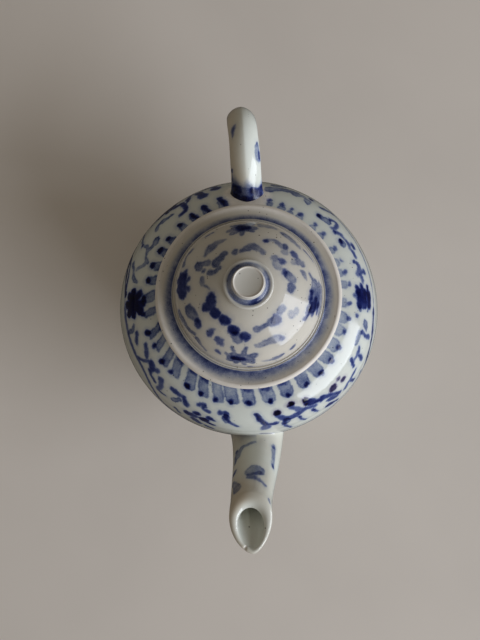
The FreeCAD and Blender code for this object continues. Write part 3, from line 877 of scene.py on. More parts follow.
def paint_tongues(painting, seed=5):
    """A ring of tongues round the neck: an oblong wash out from under the lid, with a dark dot at its end.

    They are broad by the spout, narrow dark touches on the left of the handle, and faint on the right.
    """
    chance = np.random.default_rng(seed)
    top = 45.0
    for turn in TONGUE_TURNS:
        by_spout = facing(turn, -90)
        dark_side = facing(turn, 135)
        faint_side = facing(turn, 30)
        low = 37.2 + 1.2 * math.cos(math.radians(turn - 20)) + chance.uniform(-0.6, 0.6)
        low += 2.0 * bell(turn, 155, 22) - 1.6 * bell(turn, 108, 10)
        lean = -0.35 * facing(turn, -140) + chance.uniform(-0.12, 0.12)
        wide = 1.45 + 1.1 * facing(turn, -68) - 0.15 * dark_side + 0.15 * faint_side
        wide += chance.uniform(-0.2, 0.2)
        pale = 0.29 - 0.1 * faint_side + 0.06 * dark_side + chance.uniform(-0.03, 0.03)
        foot = low + 0.9 - 1.7 * by_spout
        painting.patch((turn, (foot + top) / 2), wide, (top - foot) / 2, lean, pale)
        if -170 < turn < -60 and chance.random() < 0.75:
            painting.dab(((turn - 2.0, 42.8), (turn + 1.0, 42.4)), 0.95, 0.8, 0.5)
        if dark_side > 0.7:
            touch = (1.15, 1.0, 1.1, 0.7) if turn < 126 else (1.3, 1.1, 0.42, 0.8)
            painting.dab(((turn, low + 0.2), (turn - 3.0, low + 5.0)), *touch)
        side = chance.uniform(0.0, 0.8) * wide * by_spout
        tip = 1.05 - 0.1 * faint_side + 0.1 * dark_side + chance.uniform(-0.1, 0.12)
        painting.dot((turn + side, low), tip, 1.15 - 0.74 * faint_side, layer="ink")


def paint_lower_scroll(painting, seed=11):
    """A scroll round the lower belly: a waving stem, flowers or sprigs in its bends, and leaves."""
    chance = np.random.default_rng(seed)
    waves = 7
    middle = -9.0
    phase = 0.5
    count = 252
    run = 6

    def stem(turn):
        """Height of the stem at a turn."""
        return middle + 6.5 * np.sin(np.radians(turn * waves) + phase)

    turns = np.linspace(0, 360, count + 1)
    for k in range(0, count, run):
        part = turns[k: k + run + 1]
        painting.dab(np.column_stack([part, stem(part)]), 0.55, 0.65, 0.55 + 0.25 * chance.random(), 0.9)
    for k in range(2 * waves):
        crest = (90 - math.degrees(phase) + 180 * k) / waves
        side = 1 if k % 2 == 0 else -1
        heart = middle - 3.2 * side
        under_spout = abs((crest + 270) % 360 - 180) < 16
        if under_spout:
            continue
        if k % 4 == 1:
            painting.rosette((crest, heart), 7, 5.4, 5.2, 0.95, 40 + k)
        else:
            painting.leaf((crest - 2.2, heart - side), (crest + 2.0, heart + 2.0 * side), 1.7, 0.7)
            painting.dot((crest + 4.6, heart), 0.95, 0.8)
            painting.dot((crest - 4.8, heart + side), 0.8, 0.75)
        for step in (-7.5, -4.5, 4.0, 7.0):
            turn = crest + step + chance.uniform(-0.6, 0.6)
            foot = stem(turn)
            tip = (turn + 2.6 * np.sign(step), foot + side * chance.uniform(2.5, 4.2))
            painting.leaf((turn, foot), tip, 1.05, 0.4 if chance.random() < 0.5 else 0.6)


def paint_ring_line(painting, outside):
    """The line under the sprigs: it waves up on the left and right, and is broad and dark in places."""
    turn = painting.turn
    left_wave = smooth_share(np.abs((turn + 350) % 360 - 180), 46, 20)
    right_wave = smooth_share(np.abs(turn - 18), 58, 22)
    middle = 8.0 + 15.0 * left_wave + 13.6 * right_wave + 0.3 * np.sin(5 * np.radians(turn))
    upper_left = smooth_share(turn, 148, 158) * smooth_share(turn, 180, 175)
    lower_left = smooth_share(-turn, 118, 128) * smooth_share(-turn, 180, 175)
    lower_right = smooth_share(turn, -30, -24) * smooth_share(turn, -1, -5)
    half = 0.46 + 0.3 * upper_left + 1.0 * lower_left + 0.75 * lower_right
    tone = 0.36 + 0.45 * upper_left + 0.08 * lower_left + 0.44 * lower_right
    painting.line(middle, half, tone, outside)


def paint_pot(pot, size):
    """The pot's brushwork, on the outside's unrolled surface; slip round the handle's upper root, whose pale
    colour is partly painted light; and painted shade under the collar.
    """
    points = np.zeros(len(pot.data.vertices) * 3)
    pot.data.vertices.foreach_get("co", points)
    points = points.reshape(-1, 3) / MM
    x, y, z = points.T
    low = size["foot_height"]
    high = size["shoulder_height"]
    outline = pot_outline(size, 0, low, high)
    reach = reach_along(outline)
    reach -= np.interp(size["belly_height"], outline[:, 1], reach)
    outside = (pot_depth(points, size) > -1.0) & (z < high - 0.05) & (z > low + 0.05)
    turn = np.degrees(np.arctan2(y, x))
    height = np.where(outside, np.interp(z, outline[:, 1], reach), HIDDEN)
    painting = Painting(turn, height, np.hypot(x, y), (reach, outline[:, 0]))
    paint_tongues(painting)
    paint_sprigs(painting, POT_SPRIGS)
    for place, across, strength in POT_BERRIES:
        painting.dot(place, across, strength, stretch=0.1, layer="ink", tint=0.75)
    painting.rosette((-178, 30.8), 8, 6.0, 6.2, 1.6, 3)
    painting.petals((0.4, 30), POT_BLOCK_FLOWER)
    paint_ring_line(painting, outside)
    paint_lower_scroll(painting)
    for level, half in ((-33.5, 0.45), (-36.5, 0.75)):
        painting.line(level + 0.35 * np.sin(2 * np.radians(turn) + level), half, 0.6, outside)
    pool = np.exp(-np.abs(height - reach[0]) / 2.5) * outside
    # Painted shade: a faint blue darkening of the shoulder just under the collar.
    shade = np.exp(-np.abs(height - reach[-1]) / 2.0) * outside
    root_x, root_y = handle_root(size)
    from_root = np.hypot((x - root_x) / 7.4, (y - root_y - 0.4) / 5.4)
    # Slip round the handle's upper root; its colour is brightened as painted light, standing in for light on
    # a raised fillet.
    slip_and_painted_light = 0.75 * smooth_share(from_root, 1.55, 1.15) * outside
    painting.ground(0.02 * pool + 0.03 * shade, slip_and_painted_light, np.where(outside, 0.25 * pool, 0.35))
    painting.store(pot)


class TEAPOT_OT_pot(PieceOperator, bpy.types.Operator):
    """Throws the pot, pierces its strainer and paints it"""

    bl_idname = "teapot.pot"
    bl_label = "Pot"

    def build(self, size, colours):
        """The profile, turned round the axis, runs up the outside, over the mouth and down the inside."""
        low = size["foot_height"]
        high = size["shoulder_height"]
        belly = size["belly_height"]
        mouth = size["mouth_radius"]
        wall = size["wall"]
        hub = 0.6
        outside = pot_outline(size, 0, low, high)
        lower = evenly(outside[outside[:, 1] <= belly], 0.95)
        upper = evenly(outside[outside[:, 1] >= belly], 0.55)
        inside = pot_outline(size, wall, low + wall + 0.5, high - wall)[::-1]
        under = evenly([(hub, low), (size["foot_radius"] - 0.3, low)], 3.5)
        corners = [upper[-1], (mouth, high), (mouth, high - wall), inside[0]]
        edge = rounded(corners, [0, 0.6, 1.2, 0], closed=False, count=5)
        floor = evenly([inside[-1], (hub, inside[-1, 1])], 3.5)
        profile = np.vstack([under, lower[:-1], upper, edge[1:-1], evenly(inside, 3.2), floor[1:]])
        grid = hand_thrown(turned(profile, bpy.context.scene.teapot_stage.columns), size)
        pot = grid_piece("pot", grid, False, (0, 0, low), (0, 0, profile[-1, 1]))
        pierce_strainer(pot, size)
        paint_pot(pot, size)
        warm = tinted(colours.lid_glaze, 0.93)
        # Bare clay brightened: the slip's pale colour is partly painted light.
        slip_and_painted_light = tinted(colours.bare_clay, 1.22)
        finish = glaze("pot_glaze_painted", colours.pot_glaze, warm, slip_and_painted_light, colours, 0.12)
        finish_piece(pot, "pot_body", "pot", finish)


# Rings


def ring_piece(name, corners, rounds):
    """A closed profile with softened corners, turned round the axis: the piece and its grid."""
    grid = turned(evenly(rounded(corners, rounds), 0.45, closed=True), COLUMNS["ring"])
    return grid_piece(name, grid, ring=True), grid


class TEAPOT_OT_rings(PieceOperator, bpy.types.Operator):
    """Turns the foot ring, the neck collar and the lid's locating ring"""

    bl_idname = "teapot.rings"
    bl_label = "Rings"

    def build(self, size, colours):
        """Foot and locating ring are bare clay; the collar has a thin glaze, wiped off where the lid sits."""
        clay = colours.bare_clay
        tinting = tinted(clay, 0.72)
        seat = size["seat_height"]

        out = size["foot_radius"]
        inner = out - size["foot_wall"]
        top = size["foot_height"]
        corners = [(inner, top), (out, top), (out - 0.3, top - 1.2)]
        corners += [(out - 1.3, 0), (inner + 0.3, 0), (inner - 0.2, top - 1.0)]
        foot, _ = ring_piece("foot", corners, [0.1, 0.2, 1.0, 1.3, 1.0, 1.0])
        finish = biscuit("foot_biscuit_bare", clay, tinting)
        finish_piece(foot, "foot_ring", "pot", finish)

        out = size["collar_radius"]
        inner = size["mouth_radius"]
        base = size["shoulder_height"]
        corners = [(inner, base), (out + 0.5, base - 0.3), (out, base + 1.1), (out, seat), (inner, seat)]
        collar, grid = ring_piece("collar", corners, [0.2, 0.1, 0.9, 1.2, 0.7])
        height = grid[..., 2]
        painting = Painting(0.0, height, out)
        painting.ground(0.0, 0.85 * smooth_share(height, seat - 0.9, seat - 0.15), 0.6)
        painting.store(collar)
        finish = glaze("collar_glaze_thin", colours.lid_glaze, clay, clay, colours, 0.3)
        finish_piece(collar, "neck_collar", "pot", finish)

        out = size["ring_radius"]
        inner = out - RING_WALL
        low = size["ring_low"]
        corners = [(inner, seat), (out, seat), (out, low), (inner, low)]
        ring, _ = ring_piece("ring", corners, [0.1, 0.1, 1.3, 0.9])
        finish = biscuit("ring_biscuit_bare", clay, tinting)
        finish_piece(ring, "lid_locating_ring", "lid_ring", finish)


# Spout and handle


def unit(vectors):
    """Vectors of length 1 with the same headings."""
    return vectors / np.linalg.norm(vectors, axis=-1, keepdims=True)


def ridged(value, power):
    """Value to a power, with its sign kept."""
    return np.sign(value) * np.abs(value) ** power


def bezier(poles, share):
    """Points of a cubic curve with four poles, and its unit headings, at an array of shares."""
    share = share[..., None]
    rest = 1 - share
    place = poles[0] * rest**3 + 3 * poles[1] * rest**2 * share + 3 * poles[2] * rest * share**2
    place = place + poles[3] * share**3
    heading = (poles[1] - poles[0]) * rest**2 + 2 * (poles[2] - poles[1]) * rest * share
    return place, unit(heading + (poles[3] - poles[2]) * share**2)


def first_crossing(shares, values, level):
    """Share at which each column of values first reaches a level, by straight interpolation."""
    after = np.argmax(values >= level, axis=0)
    after = np.maximum(after, 1)
    column = np.arange(values.shape[1])
    low = values[after - 1, column]
    high = values[after, column]
    part = np.clip((level - low) / np.where(high == low, 1, high - low), 0, 1)
    return shares[after - 1] + part * (shares[after] - shares[after - 1])


def spout_poles(size):
    """Poles of the spout's centre line, from the belly's wall to the middle of the mouth."""
    side, beyond = SPOUT_MOUTH
    root = np.array([SPOUT_SIDE, -wall_radius(size, SPOUT_HEIGHT), SPOUT_HEIGHT])
    mouth = np.array([side, -size["belly_radius"] - beyond, size["spout_level"]])
    reach = np.linalg.norm(mouth - root) / 3
    from_root, to_mouth = (reach * sloped(180 - rise) for rise in SPOUT_RISES)
    return np.array([root, root + from_root, mouth - to_mouth, mouth])


def spout_radius(share, root, mouth):
    """Radius of the tube, which shrinks from root to mouth as (1 - share)^1.5."""
    return mouth + (root - mouth) * (1 - np.clip(share, 0, 1)) ** 1.5


def spout_surface(size, share, angle, root, mouth, drop, flare=0.0):
    """Tube along the centre line, its underside pinched to a beak; towards the mouth it sinks by a drop."""
    place, heading = bezier(spout_poles(size), share)
    across = unit(np.cross(heading, UP))
    up = np.cross(across, heading)
    along = np.clip(share, 0, 1)
    radius = spout_radius(share, root, mouth) + flare
    side = np.cos(angle) * np.ones(share.shape)
    rise = np.sin(angle) * np.ones(share.shape)
    side = np.where(rise < 0, ridged(side, 1 + 0.15 * along), side)
    rise = np.where(rise < 0, rise * (1 + 0.18 * along), rise)
    return place + across * (radius * side)[..., None] + up * (radius * rise - drop * along)[..., None]


SPOUT_SPRIGS = (
    # comma leaf
    ("dab", ((97, 30.4), (86, 29.4), (72, 32.2)), 2.4, 2.1, 0.3),
    ("dab", ((98, 31.6), (84, 32.8), (70, 34.4)), 1.2, 1.1, 0.5),
    ("dab", ((71, 34.1), (89, 35.0), (121, 36.8)), 1.4, 0.8, 0.5),
    # side strokes
    ("dab", ((129, 11.8), (131.5, 17), (135, 23.4)), 1.2, 1.0, 0.29),
    ("dot", (129.5, 12.4), 0.9, 0.5),
    ("dot", (135, 22.8), 0.9, 0.5),
    ("dab", ((140, 42.6), (145, 44)), 0.9, 0.6, 0.4),
    ("dab", ((79, 12.6), (60, 14.2), (42, 15), (30, 19)), 0.8, 1.6, 0.3),
    ("dab", ((26, 15.5), (18, 21.5)), 1.3, 0.9, 0.4),
    ("leaf", (10, 28.4), (27, 27), 1.2, 0.5),
    ("dab", ((14, 33.6), (30, 36.6), (41, 39.4)), 1.1, 1.9, 0.34),
    # underside
    ("leaf", (220, 18), (250, 24), 1.8, 0.5),
    ("dab", ((250, 22), (285, 28), (320, 26)), 0.8, 0.6, 0.5),
    ("leaf", (300, 16), (330, 21), 1.6, 0.5),
    ("dot", (270, 17), 1.2, 0.7),
)


class TEAPOT_OT_spout(PieceOperator, bpy.types.Operator):
    """Draws the hollow spout with its level, rounded mouth and paints it"""

    bl_idname = "teapot.spout"
    bl_label = "Spout"

    def build(self, size, colours):
        """Each angle's profile runs up the outside, round the lip, down the bore and closes in the wall."""
        angle = circle(COLUMNS["spout"])
        degrees = np.degrees(angle)
        shares = np.linspace(-0.25, 1.5, 700)
        outer = (size["spout_root"], size["spout_mouth"], 0.0)
        bore = (size["spout_root"] - 3.2, size["spout_mouth"] - 2.9, 2.1)
        spans = []
        for radii in (outer, bore):
            tube = spout_surface(size, shares[:, None] * np.ones(len(angle)), angle, *radii)
            start = first_crossing(shares, pot_depth(tube, size), SPOUT_SUNK)
            end = first_crossing(shares, tube[..., 2], size["spout_level"] - SPOUT_LIP)
            spans.append((start, end))
        (start, end), (bore_start, bore_end) = spans

        share = start + (end - start) * np.linspace(0, 1, 116)[:, None]
        depth = pot_depth(spout_surface(size, share, angle, *outer), size)
        luted = 1.2 * np.exp(-np.maximum(depth - SPOUT_SUNK, 0) / 1.4)
        turned_out = 0.55 * smooth_share(share, end - 0.16, end) * (0.6 + 0.4 * np.sin(angle))
        outside = spout_surface(size, share, angle, *outer, flare=luted + turned_out)
        bore_share = bore_start + (bore_end - bore_start) * np.linspace(1, 0, 60)[:, None]
        scoop = (0.5 + 0.5 * np.cos(angle + 1.15)) ** 1.5
        lean = 3.4 * scoop * smooth_share(bore_share, bore_end, bore_end - 0.32)
        inside = spout_surface(size, bore_share, angle, *bore, flare=-lean)
        t = np.linspace(0, math.pi, 11)[1:-1, None, None]
        on_top = np.maximum(np.sin(angle), 0)[:, None]
        inwards = (1 - on_top) * (1 - np.cos(t)) / 2 + on_top * t / math.pi
        nick = bell(degrees, 298, 3.6)
        arch = outside[-1] + (inside[0] - outside[-1]) * inwards
        arch = arch + UP * np.sin(t) * (SPOUT_LIP - 0.5 * nick[:, None])
        grid = np.vstack([outside, arch, inside])
        piece = grid_piece("spout_tube", grid, ring=True)

        path, _ = bezier(spout_poles(size), shares)
        reach = reach_along(path)
        reach -= np.interp(0, shares, reach)
        tube_rows = slice(0, len(outside))
        lip_rows = slice(len(outside), len(outside) + len(arch))
        height = np.full(grid.shape[:2], HIDDEN)
        height[tube_rows] = np.interp(share, shares, reach)
        radius = np.full(grid.shape[:2], 8.0)
        radius[tube_rows] = spout_radius(share, *outer[:2])
        painting = Painting(degrees, height, radius)
        paint_sprigs(painting, SPOUT_SPRIGS)
        shadow = np.zeros(grid.shape[:2])
        shadow[tube_rows] = 0.1 * np.exp(-np.maximum(depth, 0) / 2.0) * (np.cos(angle) > 0.1)
        bare = np.zeros(grid.shape[:2])
        bare[lip_rows] = 0.7 * nick + 0.1
        # Painted light: the bore and the inner side of the lip take the white glaze, to lift the bore's
        # shade.
        bore_painted_light = -0.2
        warmth_and_painted_light = np.full(grid.shape[:2], bore_painted_light)
        # A warmer, browner patch near the mouth, on the upper left.
        tinting = bell(height[tube_rows], 41, 5) * bell(degrees, 48, 38)
        # Painted shade: the glaze turns warmer and darker towards the spout's left side, away from the
        # window.
        warmth_and_painted_light[tube_rows] = 0.2 + 0.35 * np.cos(angle) + 0.8 * tinting
        over = smooth_share(t[..., 0], 0.7, 3.0)
        warmth_and_painted_light[lip_rows] = warmth_and_painted_light[len(outside) - 1] * (1 - over) + bore_painted_light * over
        painting.ground(shadow, bare, warmth_and_painted_light)
        painting.store(piece)
        # Painted light and shade: the white is a brightened copy of the pot's glaze for the lit right side
        # and the bore, the warm one a darker, browner copy for the shaded left side.
        white = tinted(colours.pot_glaze, 1.08)
        warm = tinted(colours.lid_glaze, 0.94, 0.84, 0.7)
        finish = glaze("spout_glaze_painted", white, warm, colours.bare_clay, colours, 0.15, 0.15)
        finish_piece(piece, "spout", "pot", finish, sharp=60)


def handle_root(size):
    """Where the handle's upper root meets the shoulder, seen from above."""
    return HANDLE_SIDES[0], size["collar_radius"] + HANDLE_ROOT


def handle_poles(size):
    """Poles of the loop's halves: upper root to outermost place, and from there to the lower root."""
    above, _ = pot_semi(size)
    belly = size["belly_radius"]
    _, out_side, low_side = HANDLE_SIDES
    out_height, low_height = HANDLE_HEIGHTS
    rise_top, rise_low = (sloped(rise) for rise in HANDLE_RISES)
    top_side, top_radius = handle_root(size)
    top_height = size["belly_height"] + above * math.sqrt(1 - (top_radius / belly) ** 2)
    top = np.array([top_side, top_radius, top_height])
    low = np.array([low_side, wall_radius(size, low_height), low_height])
    out = np.array([out_side, belly + HANDLE_REACH, out_height])
    below_out = out - 0.58 * (out_height - low_height) * UP
    upper = np.array([top - 12 * rise_top, top + 25 * rise_top, out + 26 * UP, out])
    lower = np.array([out, below_out, low + 17 * rise_low, low - 12 * rise_low])
    return upper, lower


def handle_surface(size, share, angle, luted=0.0):
    """Tube on two joined curves; its section swells as (share - 1)^8 towards both roots.

    The section is an oval whose cosine and sine are raised to a power of up to 1.25, which leaves a soft
    ridge along it that fades at the outermost place.
    """
    upper, lower = handle_poles(size)
    first = bezier(upper, np.clip(share, 0, 1))
    second = bezier(lower, np.clip(share - 1, 0, 1))
    past = (share > 1)[..., None]
    place = np.where(past, second[0], first[0])
    heading = np.where(past, second[1], first[1])
    up = unit(np.cross(np.array([1.0, 0, 0]), heading))
    across = np.cross(heading, up)
    swell = 1 + 0.24 * (share - 1) ** 8
    hand = 1 + 0.012 * np.sin(9 * share + 0.5) + 0.008 * np.sin(23 * share)
    power = 1.08 + 0.17 * smooth_share(np.abs(share - 1), 0.05, 0.45)
    taper = 1 - 0.09 * bell(share, 1, 0.22)
    wide = (size["handle_width"] / 2 * swell * hand * taper + luted) * ridged(np.cos(angle), power)
    thick = (size["handle_thickness"] / 2 * swell / hand + luted) * ridged(np.sin(angle), power)
    return place + across * wide[..., None] + up * thick[..., None]


HANDLE_SPRIGS = (
    # root
    ("dab", ((128, 4.0), (96, 4.2), (60, 4.0)), 2.0, 1.9, 0.2),
    ("dab", ((150, 5.2), (128, 4.8)), 1.5, 1.3, 0.8),
    ("dab", ((62, 4.6), (42, 2.8)), 1.2, 1.9, 0.85),
    ("dab", ((22, 4.4), (36, 1.6)), 1.5, 1.8, 0.8),
    ("dab", ((150, 1.4), (92, 0.8), (40, 1.2)), 1.6, 1.9, 0.85),
    ("dab", ((165, 2.4), (190, 3.0), (230, 2.5)), 1.8, 1.6, 0.9),
    ("dab", ((350, 3.0), (320, 2.5), (280, 2.2)), 1.8, 1.6, 0.9),
    # upper side
    ("leaf", (130, 27.2), (143, 23.4), 1.3, 0.5),
    ("dab", ((160, 12), (158, 8)), 0.6, 0.5, 0.6),
    ("leaf", (27, 21), (25, 14), 1.35, 0.36),
    ("dab", ((20, 17.8), (18, 15)), 0.65, 0.6, 0.8),
    # outer side
    ("leaf", (60, 52), (100, 60), 1.7, 0.6),
    ("dab", ((100, 62), (75, 68), (95, 74)), 0.8, 0.6, 0.55),
    ("leaf", (130, 66), (95, 74), 1.4, 0.45),
    ("dot", (84, 80), 1.0, 0.7),
    ("leaf", (40, 78), (75, 86), 1.5, 0.6),
)


class TEAPOT_OT_handle(PieceOperator, bpy.types.Operator):
    """Rolls the loop handle, lutes it to the pot and paints it"""

    bl_idname = "teapot.handle"
    bl_label = "Handle"

    def build(self, size, colours):
        """Each angle's line runs from inside the pot's shoulder, round the loop and back into its wall."""
        angle = circle(COLUMNS["handle"])
        shares = np.linspace(0, 2, 900)
        every = shares[:, None] * np.ones(len(angle))
        depth = pot_depth(handle_surface(size, every, angle), size)
        start = first_crossing(shares, depth, HANDLE_SUNK)
        end = 2 - first_crossing(shares, depth[::-1], HANDLE_SUNK)
        share = start + (end - start) * np.linspace(0, 1, 250)[:, None]
        depth = pot_depth(handle_surface(size, share, angle), size)
        luted = np.exp(-np.maximum(depth - HANDLE_SUNK, 0) / 1.6)
        grid = handle_surface(size, share, angle, luted)
        piece = grid_piece("handle_loop", grid, False, grid[0].mean(0), grid[-1].mean(0))

        reach = reach_along(handle_surface(size, every[:, :1], np.array([0.0]))[:, 0])
        reach -= np.interp(start.mean(), shares, reach)
        height = np.interp(share, shares, reach)
        from_low = np.interp(end.mean(), shares, reach) - height
        painting = Painting(np.degrees(angle), height, HANDLE_GIRTH)
        paint_sprigs(painting, HANDLE_SPRIGS)
        ragged = 5.6 + 1.8 * np.sin(2 * angle + 3.5) + 1.3 * np.sin(5 * angle + 1.0)
        near_top = smooth_share(height, ragged + 3.4, ragged - 2.6)
        near_low = smooth_share(from_low, ragged * 0.7 + 1.5, ragged * 0.7 - 1.5)
        edge = 0.3 + 0.15 * np.exp(-np.maximum(depth, 0) / 1.6)
        blue = np.maximum(1.25 * near_top, 1.5 * near_low) * edge
        # Blue round both roots, thinner glaze at the upper root, and painted light and shade across the loop:
        # warm and dark on its left side, white on its right.
        painting.ground(blue, 0.25 * smooth_share(height, 7.0, 4.2), 0.15 - 0.95 * np.cos(angle))
        painting.store(piece)
        # The white is a brightened copy of the pot's glaze for the lit right side, the warm one a darker copy
        # for the shaded left side.
        white = tinted(colours.pot_glaze, 1.17)
        warm = tinted(colours.lid_glaze, 1.05, 0.98, 0.87)
        finish = glaze("handle_glaze_painted", white, warm, colours.bare_clay, colours, 0.1)
        finish_piece(piece, "handle", "pot", finish, sharp=60)


# Lid and knob. Places on the lid are (turn in degrees, height in mm up the dome from 2 mm below its foot).

LID_SPRIGS = (
    # upper left
    ("leaf", (143, 19.4), (116, 19.4), 1.5, 0.36),
    ("dab", ((143.5, 25.4), (134, 25.6), (126, 25.2)), 1.5, 1.1, 0.42),
    ("dot", (111, 26.6), 1.1, 0.38),
    ("dab", ((101.5, 27), (92, 26.4), (82, 24.6)), 0.9, 1.5, 0.42),
    ("dab", ((157, 19.6), (152.5, 21), (149, 22.6)), 1.6, 0.8, 0.42),
    ("dot", (160.5, 22.2), 0.9, 0.4),
    ("dab", ((161.7, 24.6), (160, 27), (150, 27.8)), 0.8, 0.7, 0.42),
    ("dab", ((169.5, 22.4), (178.5, 23)), 1.0, 0.8, 0.3),
    ("dab", ((178.5, 23.4), (184, 25.8)), 0.4, 0.4, 0.34),
    # left
    ("dab", ((-163, 25.6), (-155, 24.6)), 1.7, 1.9, 0.84),
    ("dab", ((-153, 22), (-153, 24.4)), 1.8, 1.6, 0.84),
    ("dab", ((-140, 24), (-149, 24.8)), 1.9, 1.4, 0.84),
    ("leaf", (-162, 14.2), (-147, 16.4), 2.3, 0.48),
    ("leaf", (-147, 16.4), (-141, 13.8), 1.4, 0.75),
    ("dot", (-124, 24.6), 1.95, 0.86),
    ("dot", (-108.5, 22.6), 1.85, 0.78),
    ("dot", (-93.5, 20.9), 1.7, 0.66),
    ("dot", (-102, 20), 2.0, 0.34),
    ("leaf", (-130, 15.6), (-128, 19.6), 1.4, 0.52),
    ("leaf", (-121.5, 16.6), (-113, 14.8), 1.5, 0.52),
    ("dot", (-115.2, 11), 0.9, 0.5),
    ("dot", (-89, 4), 0.8, 0.6),
    # right
    ("dot", (69.8, 21), 0.95, 0.5),
    ("dab", ((68, 20.4), (62.5, 18.8), (56, 19), (51, 19.4)), 0.9, 0.8, 0.32),
    ("dot", (48, 18.4), 1.15, 0.46),
    ("dot", (44.2, 20.5), 1.0, 0.18),
    ("dab", ((38, 17.8), (33, 17.4)), 1.1, 1.0, 0.52),
    ("dab", ((28, 18.2), (24, 16.8)), 1.3, 1.2, 0.36),
    ("dot", (28.5, 19.8), 1.1, 0.2),
    ("leaf", (17, 18.4), (8, 17.2), 1.0, 0.24),
    ("dot", (37.3, 24.5), 1.2, 0.5),
    ("dab", ((46, 26), (40, 27), (34, 27)), 1.3, 1.6, 0.26),
    ("dot", (20.5, 26), 1.1, 0.5),
    ("dab", ((15, 25), (9, 23.4)), 1.2, 1.7, 0.38),
    ("dot", (-3.4, 24.2), 1.6, 0.4),
    ("dab", ((84, 25.2), (76, 25.8), (67.6, 26.4)), 1.6, 1.1, 0.36),
    # lower right
    ("dot", (-50.6, 24), 1.7, 0.62),
    ("dab", ((-58, 24.2), (-66, 24.2), (-80, 23.6)), 1.4, 0.9, 0.36),
    ("dot", (-56.4, 16.4), 1.0, 0.52),
    ("dab", ((-60, 17.2), (-69, 18), (-82, 17.2)), 1.7, 0.9, 0.3),
    ("leaf", (-61.4, 8.8), (-79, 9), 1.2, 0.3),
    ("dab", ((-53.6, 9), (-50.4, 9.4)), 0.8, 0.6, 0.42),
    ("dot", (-36.4, 25.2), 1.5, 0.25),
    ("dab", ((-33, 20.6), (-27, 19.6)), 1.3, 1.0, 0.2),
    # round the foot
    ("dab", ((-162, 8), (-154, 9), (-147, 9.4), (-141, 10.6)), 1.3, 0.8, 0.38),
    ("dab", ((-136, 9.8), (-131, 8.5), (-126, 7.4)), 1.0, 0.7, 0.36),
    ("dab", ((159, 11), (151, 9.8), (145, 11)), 0.9, 0.7, 0.3),
    ("dab", ((129, 11.4), (122, 11.8)), 0.5, 0.5, 0.5),
    ("dab", ((79, 13), (72, 12.2), (66, 11.8)), 1.1, 0.8, 0.22),
    ("dab", ((58, 12.6), (50, 12.8), (40, 12.4)), 1.2, 0.9, 0.26),
    ("dab", ((36, 11), (30, 10), (25, 9)), 0.5, 0.4, 0.5),
)

# Each lid flower by its place: strokes (x, y, x, y, half width, end half width, strength) in mm.
LID_FLOWERS = {
    (95.5, 15.0): (
        (-1.3, 0.0, 0.9, 0.2, 1.5, 1.5, 0.8),
        (-1.5, 0.2, -4.6, 0.6, 1.4, 1.0, 0.36),
        (-1.2, 1.2, -3.4, 2.2, 1.3, 0.9, 0.34),
        (1.4, 1.0, 4.0, 2.2, 1.4, 1.0, 0.36),
        (1.6, -0.2, 5.2, 0.4, 1.4, 0.9, 0.34),
        (1.2, -1.2, 3.6, -2.0, 1.3, 0.9, 0.34),
        (-1.2, -1.2, -3.4, -2.2, 1.3, 0.9, 0.34),
        (0.0, 1.5, 0.2, 4.0, 1.0, 0.8, 0.4),
    ),
    (176.5, 12.7): (
        (-2.2, 0.0, 2.2, 0.0, 2.7, 2.7, 0.82),
        (-2.0, 0.8, -4.6, 0.8, 1.3, 1.1, 0.7),
        (2.0, 0.5, 4.4, 0.6, 1.3, 1.0, 0.72),
        (-1.0, 1.8, -2.0, 3.4, 1.2, 1.0, 0.65),
        (1.2, 1.8, 1.4, 3.6, 1.2, 1.0, 0.65),
        (-1.2, -1.6, -2.2, -3.4, 1.2, 1.0, 0.65),
        (1.4, -1.6, 1.8, -3.4, 1.2, 1.0, 0.65),
        (-2.4, -0.8, -4.2, -1.8, 1.1, 0.9, 0.65),
        (2.4, -0.8, 4.0, -1.6, 1.1, 0.9, 0.65),
    ),
    (-96.5, 10.6): (
        (-2.4, 0.0, 2.2, 0.2, 2.5, 2.4, 0.44),
        (-2.4, 0.0, 1.0, 0.2, 1.1, 1.0, 0.95),
        (-2.0, 0.6, -5.2, 1.2, 1.2, 0.7, 0.46),
        (-1.6, 1.0, -3.4, 5.0, 1.1, 0.5, 0.46),
        (0.8, 1.0, 1.6, 5.6, 1.2, 0.5, 0.46),
        (2.0, 0.6, 5.0, 2.6, 1.3, 0.9, 0.48),
        (2.4, -0.8, 4.4, -2.0, 1.2, 0.8, 0.46),
        (-2.4, -1.0, -4.2, -2.2, 1.2, 0.8, 0.46),
        (1.2, -1.6, 1.8, -3.8, 1.1, 0.8, 0.46),
        (-1.2, -1.6, -1.6, -3.6, 1.1, 0.8, 0.46),
    ),
    (-6.5, 12.4): (
        (-3.5, 0.6, 4.0, 0.4, 2.4, 2.2, 0.46),
        (-2.0, -1.8, 3.0, -1.8, 1.8, 1.6, 0.44),
        (3.5, 0.8, 7.6, 2.4, 1.0, 0.6, 0.46),
        (3.2, -1.6, 5.6, -2.6, 1.0, 0.7, 0.42),
        (-1.0, 2.6, 1.0, 2.6, 1.1, 1.0, 0.6),
        (-0.8, 0.0, -3.4, 0.2, 1.0, 0.9, 0.55),
        (-3.0, 1.4, -8.6, 2.2, 1.0, 0.9, 0.66),
        (-3.0, -0.4, -7.0, -0.6, 0.9, 0.7, 0.55),
        (-2.4, -2.4, -6.0, -3.2, 0.9, 0.6, 0.5),
        (4.0, -4.0, -5.0, -5.8, 1.5, 1.2, 0.34),
    ),
}


def lid_hollow(size):
    """Height of the hollow inside the lid, above the flange."""
    return size["crown_height"] - CROWN_WALL - size["seat_height"] - size["flange_thickness"]


